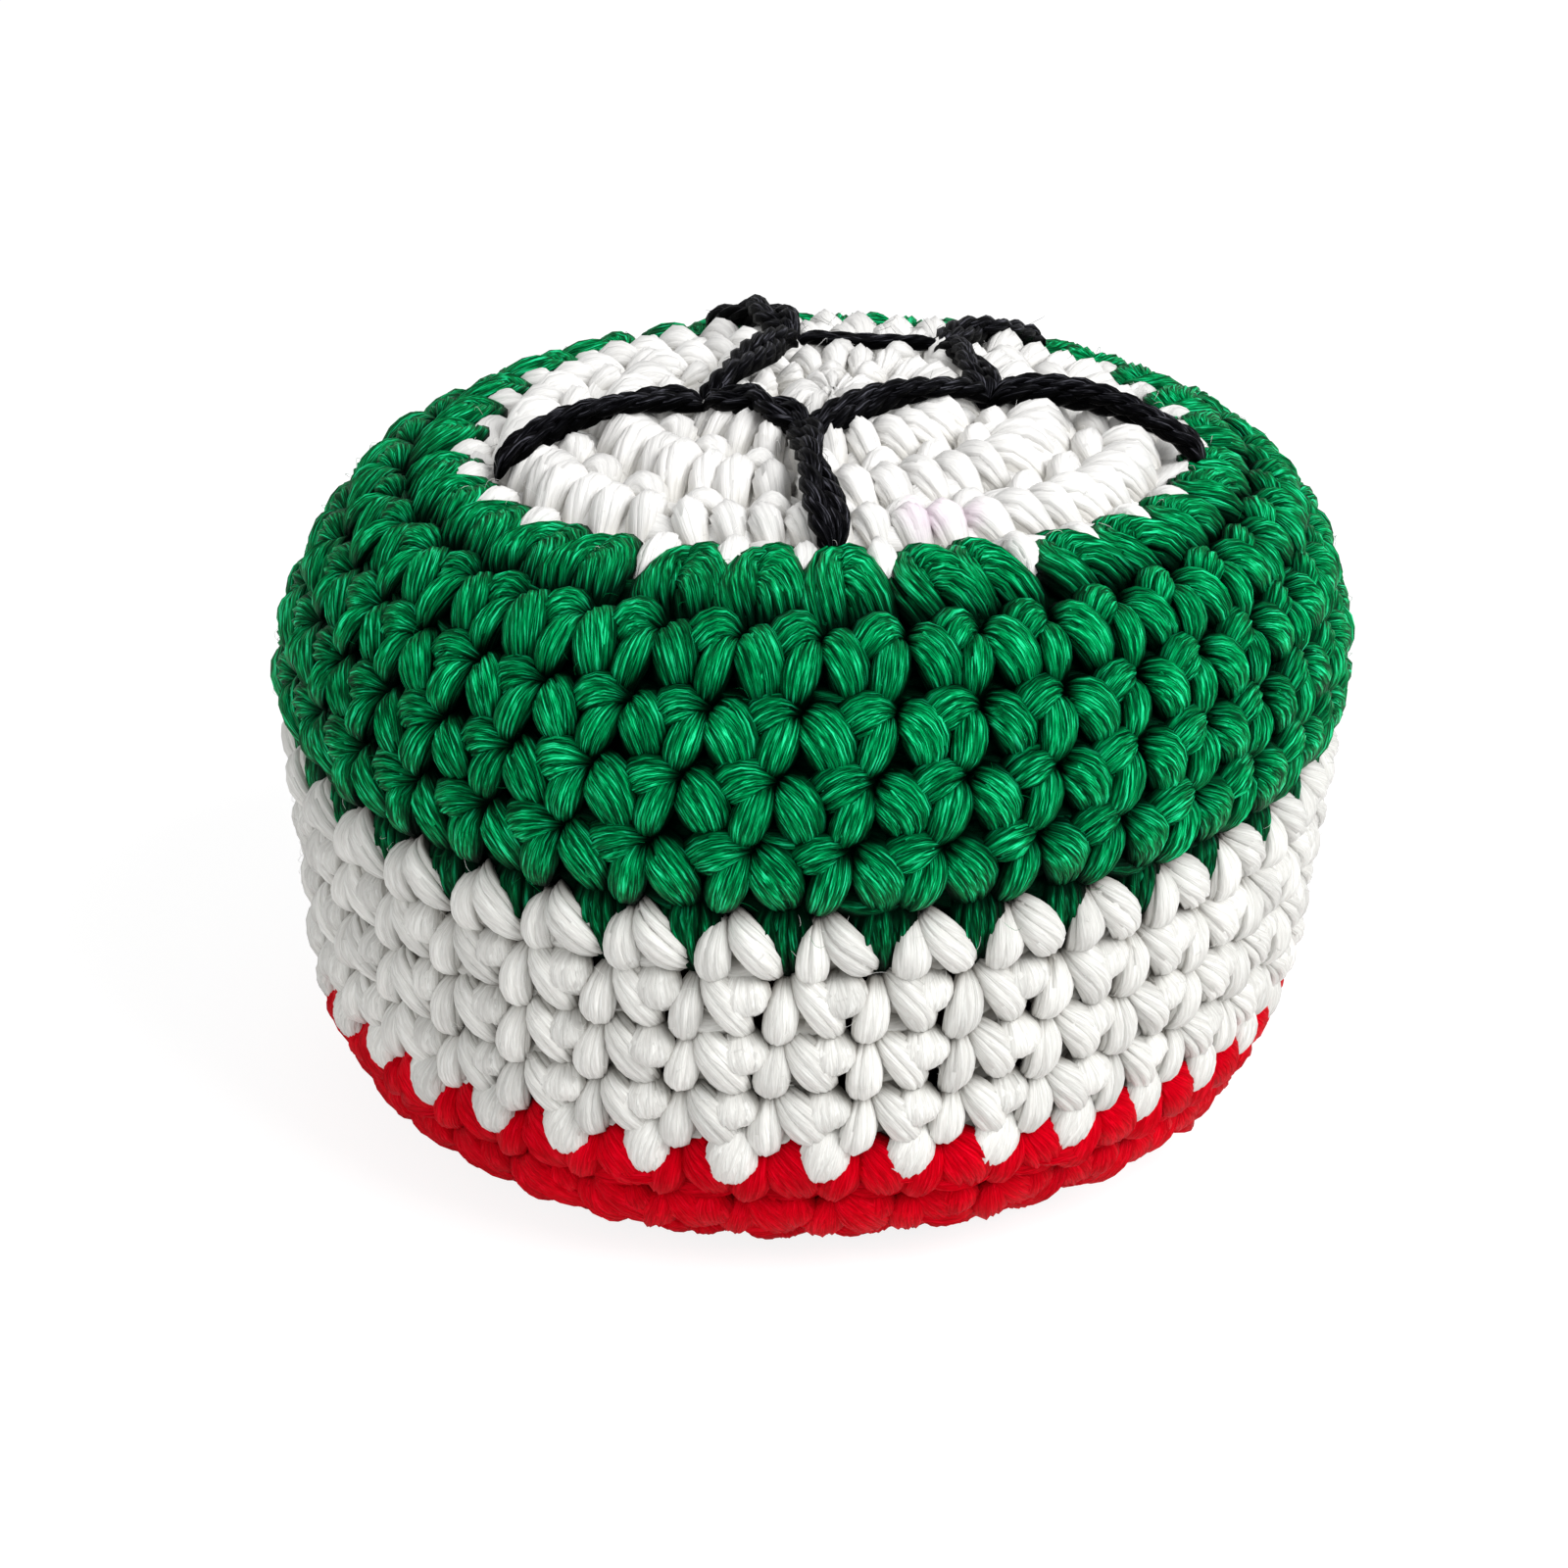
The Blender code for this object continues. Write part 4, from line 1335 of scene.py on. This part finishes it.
@dataclass
class Pouch:
    """The sewn lining pouch and the pellets that fill it.

    The halves are puckered most at their seam. Away from it the folds die down over
    pucker_fade, to pucker_rest of their height. Crumple and crumple_run bend them
    aside. The swings are how far the seam's stitches and the pellets differ.
    """

    outline: Outline
    depth: float = 3.9 * MM
    wall: float = 0.4 * MM
    pucker: float = 0.3 * MM
    pucker_fade: float = 4.0 * MM
    pucker_rest: float = 0.25
    puckers: int = 26
    crumple: float = 3.0
    crumple_run: float = 5.0 * MM
    columns: int = 104
    rows: int = 26
    least_length: float = 0.001 * MM
    weld: float = 0.02 * MM
    cloth_radius: float = 25.0 * MM
    seam_height: float = 21.0 * MM
    seam_gap: float = 0.3 * MM
    seam_stitches: int = 84
    seam_slant: float = 0.55
    slant_swing: float = 0.2
    stitch_swing: float = 0.1
    stitch_reach: float = 0.9 * MM
    stitch_lift: float = 0.2 * MM
    stitch_dive: float = 0.25 * MM
    stitch_fall: float = 4.0
    stitch_end_shade: float = 0.3
    thread_radius: float = 0.2 * MM
    thread_uv: tuple = (0.3, 0.03)
    fill: float = 0.85
    pellet_radius: float = 1.7 * MM
    pellet_spacing: float = 3.5 * MM
    pellet_layers: int = 2
    pellet_room: float = 0.2 * MM
    layer_share: float = 0.8
    row_share: float = 0.88
    turn_swing: float = 0.12
    place_swing: float = 0.3 * MM
    depth_swing: float = 0.25 * MM
    pellet_flatness: float = 0.78
    flatness_swing: float = 0.1
    seed: int = 3

    def __post_init__(self) -> None:
        """Find the seam on the outline."""
        sides = self.outline.lengths > self.outline.shoulder_reach
        self.seam = float(self.outline.lengths[sides & (self.outline.heights <= self.seam_height)][0])

    def half(self, name: str, start: float, end: float, cloth: bpy.types.Material) -> bpy.types.Object:
        """Make one half of the pouch from a flat grid that is drawn round the filling.

        Args:
            name: the piece's name.
            start: the length along the outline where it starts.
            end: the length where it ends.
            cloth: its finish.

        Returns:
            The object.
        """
        mesh = bmesh.new()
        bmesh.ops.create_grid(mesh, x_segments=self.columns, y_segments=self.rows, size=0.5)
        layer = mesh.loops.layers.uv.new("yarn")
        flat = np.array([vertex.co[:] for vertex in mesh.verts])
        turn = 2 * np.pi * (flat[:, 0] + 0.5)
        length = start + (end - start) * (flat[:, 1] + 0.5)
        uv = np.stack([2 * math.pi * self.cloth_radius * flat[:, 0], length], axis=-1) / UV_UNIT
        for face in mesh.faces:
            for corner in face.loops:
                corner[layer].uv = uv[corner.vert.index]
        near = np.exp(-np.abs(length - self.seam) / self.pucker_fade) + self.pucker_rest
        fold = np.sin(self.puckers * turn + self.crumple * np.sin(2 * turn) + length / self.crumple_run)
        depth = self.depth + self.pucker * near * (1 + fold) * 0.5
        points = self.outline.place(turn, np.maximum(length, self.least_length), depth)
        for vertex, point in zip(mesh.verts, points):
            vertex.co = point
        bmesh.ops.remove_doubles(mesh, verts=mesh.verts, dist=self.weld)
        bmesh.ops.recalc_face_normals(mesh, faces=mesh.faces)
        bmesh.ops.solidify(mesh, geom=mesh.faces, thickness=self.wall)
        bmesh.ops.recalc_face_normals(mesh, faces=mesh.faces)
        return Heap(mesh).to_object(name, cloth)

    def seam_thread(self) -> Heap:
        """Sew the halves together with slanted stitches over their edges.

        Returns:
            The heap that holds the stitches.
        """
        heap = Heap()
        blank = Blank(sides=6, sections=8)
        random = np.random.RandomState(self.seed)
        pitch = 2 * math.pi / self.seam_stitches
        radius = float(self.outline.at(np.array([self.seam]))[0][0]) - self.depth
        t = blank.part
        thin = blank.spindle(self.thread_radius)
        dive = self.stitch_dive * np.abs(2 * t - 1) ** self.stitch_fall
        uv = np.stack([t, blank.angle], axis=-1) * self.thread_uv
        for i in range(self.seam_stitches):
            draw = random.uniform(-1, 1, 3)
            slant = self.seam_slant * pitch * (2 * t - 1) * (1 + self.slant_swing * draw[0])
            turn = (i + self.stitch_swing * draw[1]) * pitch + slant + thin * np.cos(blank.angle) / radius
            reach = self.stitch_reach * (1 + self.stitch_swing * draw[2])
            length = self.seam + reach * (2 * t - 1)
            depth = self.depth - self.stitch_lift + dive - thin * np.sin(blank.angle)
            points = self.outline.place(turn, length, depth)
            # Painted shade: each stitch darkens towards its ends, where it goes into the cloth.
            heap.add(blank, points, uv, self.stitch_end_shade * np.abs(2 * t - 1), float(draw[0]))
        return heap

    def pellets(self) -> Heap:
        """Heap the pellets in layers against the inside of the pouch.

        Returns:
            The heap that holds them.
        """
        heap = Heap()
        blank = Blank(sides=6, sections=4)
        uv = np.stack([blank.part, blank.angle], axis=-1)
        random = np.random.RandomState(self.seed)
        for layer in range(self.pellet_layers):
            depth = self.depth + self.wall + self.pellet_room + self.pucker + self.pellet_radius
            depth += layer * self.layer_share * self.pellet_spacing
            lengths, run, radii = self.outline.inner_curve(depth)
            for row in np.arange(0.5 * self.pellet_spacing, run[-1], self.row_share * self.pellet_spacing):
                length, radius = np.interp(row, run, lengths), np.interp(row, run, radii)
                count = max(1, round(2 * math.pi * radius / self.pellet_spacing))
                first = random.uniform(0, 2 * math.pi)
                for i in range(count):
                    draw = random.uniform(-1, 1, 6)
                    middle = self.outline.place(
                        np.array([first + 2 * math.pi * (i + self.turn_swing * draw[0]) / count]),
                        np.array([length + self.place_swing * draw[1]]),
                        np.array([depth + self.depth_swing * (1 + draw[2])]),
                    )
                    flatness = self.pellet_flatness + self.flatness_swing * draw[3]
                    body = blank.ball * (1.0, 1.0, flatness) * self.pellet_radius
                    tilt = Vector(draw[3:6]).to_track_quat("Z", "Y").to_matrix()
                    points = body @ np.array(tilt).T + middle
                    heap.add(blank, points, uv, np.zeros(len(points)), float(draw[4]))
        return heap

    def build(self) -> None:
        """Make the two halves, their seam and the pellets."""
        cloth = ClothFinish().material()
        upper = self.half("pouch_upper", 0.0, self.seam - self.seam_gap, cloth)
        lower = self.half("pouch_lower", self.seam + self.seam_gap, self.outline.total, cloth)
        for piece, node in ((upper, "liner_upper"), (lower, "liner_lower")):
            attach(piece, "liner_cloth", node)
        stitches = self.seam_thread().to_object("pouch_seam_stitches", SEWING_THREAD.material())
        attach(stitches, "liner_thread", "liner_seam_thread")
        pellets = self.pellets().to_object("pellets", PelletFinish().material())
        attach(pellets, "pellets", "pellet_fill")


@dataclass(frozen=True)
class Lamp:
    """A square soft lamp: its place and side in metres, and its power in watts."""

    name: str
    place: tuple
    side: float
    power: float


@dataclass
class Studio:
    """The plain pale floor, the soft lights and the camera.

    World_light is how strongly the white surroundings light the bag, floor_lit the
    paper's colour as the bag sees it, and floor_seen with floor_glow as the camera
    does.
    """

    camera_place: tuple = (0.0, -245.209 * MM, 129.462 * MM)
    camera_look: tuple = (-0.00623, 0.91046, -0.41354)
    focal_px: float = 4791.5
    sensor: float = 36.0
    floor_glow: float = 0.86
    floor_seen: str = "#858585"
    floor_lit: str = "#F2F2F2"
    floor_reach: float = 3.0
    world_light: float = 0.53
    lamps: tuple = (
        Lamp("key", (0.36, -0.3, 0.42), 0.35, 3.55),
        Lamp("fill", (-0.45, -0.45, 0.3), 0.5, 0.85),
    )
    lamp_aim: tuple = (0.0, 0.0, 20.0 * MM)
    clip_start: float = 10.0 * MM

    def paper(self) -> bpy.types.Material:
        """Build the floor's finish.

        Matt white paper gives no gloss. It glows to the camera, so that it stays white
        up to the horizon and yet shows the bag's shadow.

        Returns:
            The material.
        """
        material, tree, shader = new_material("matt_white_paper")
        shader.inputs["Roughness"].default_value = 0.9
        shader.inputs["Specular IOR Level"].default_value = 0.0
        rays = add_node(tree, "ShaderNodeLightPath")
        shade = add_node(
            tree, "ShaderNodeMix",
            {"data_type": "RGBA", 6: linear(self.floor_lit), 7: linear(self.floor_seen)},
            {0: rays.outputs["Is Camera Ray"]},
        )
        fade = add_node(
            tree, "ShaderNodeMath", {"operation": "MULTIPLY", 1: self.floor_glow},
            {0: rays.outputs["Is Camera Ray"]},
        )
        glow = add_node(
            tree, "ShaderNodeEmission", {"Color": linear("#FFFFFF")}, {"Strength": fade.outputs[0]}
        )
        both = add_node(tree, "ShaderNodeAddShader", {}, {0: shader.outputs[0], 1: glow.outputs[0]})
        tree.links.new(shade.outputs[2], shader.inputs["Base Color"])
        tree.links.new(both.outputs[0], tree.nodes["Material Output"].inputs["Surface"])
        return material

    def floor(self) -> None:
        """Lay the floor, a large sheet of paper."""
        mesh = bmesh.new()
        bmesh.ops.create_grid(mesh, x_segments=1, y_segments=1, size=self.floor_reach)
        floor = new_object("floor", mesh, self.paper())

    def world(self) -> None:
        """Light softly from all round, before a white background."""
        world = bpy.data.worlds.new("studio")
        bpy.context.scene.world = world
        world.use_nodes = True
        tree = world.node_tree
        back = tree.nodes["Background"]
        back.inputs["Color"].default_value = (1.0, 1.0, 1.0, 1.0)
        rays = add_node(tree, "ShaderNodeLightPath")
        seen = add_node(
            tree, "ShaderNodeMapRange", {"To Min": self.world_light, "To Max": 1.0},
            {"Value": rays.outputs["Is Camera Ray"]},
        )
        tree.links.new(seen.outputs[0], back.inputs["Strength"])

    def hang(self, lamp: Lamp) -> None:
        """Hang a lamp so that it faces the bag.

        Args:
            lamp: the lamp.
        """
        data = bpy.data.lights.new(lamp.name, "AREA")
        data.shape = "SQUARE"
        data.size = lamp.side
        data.energy = lamp.power
        light = bpy.data.objects.new(lamp.name, data)
        light.location = lamp.place
        aim = Vector(self.lamp_aim) - Vector(lamp.place)
        light.rotation_euler = aim.to_track_quat("-Z", "Y").to_euler()
        bpy.context.scene.collection.objects.link(light)

    def camera(self) -> None:
        """Stand the camera where the photograph was taken from."""
        data = bpy.data.cameras.new("camera")
        data.sensor_width = self.sensor
        data.lens = self.focal_px * self.sensor / PHOTO_SIDE_PX
        data.clip_start = self.clip_start
        camera = bpy.data.objects.new("camera", data)
        camera.location = self.camera_place
        camera.rotation_euler = Vector(self.camera_look).to_track_quat("-Z", "Y").to_euler()
        bpy.context.scene.collection.objects.link(camera)
        bpy.context.scene.camera = camera

    def build(self) -> None:
        """Set the stage."""
        bpy.context.scene.view_settings.view_transform = "Standard"
        self.floor()
        self.world()
        for lamp in self.lamps:
            self.hang(lamp)
        self.camera()


def main() -> None:
    """Dress the bag and set the stage."""
    logging.basicConfig(level=logging.INFO)
    outline = Outline()
    Shell(outline).build()
    Motif(outline).build()
    Pouch(outline).build()
    Studio().build()


if __name__ == "__main__":
    main()
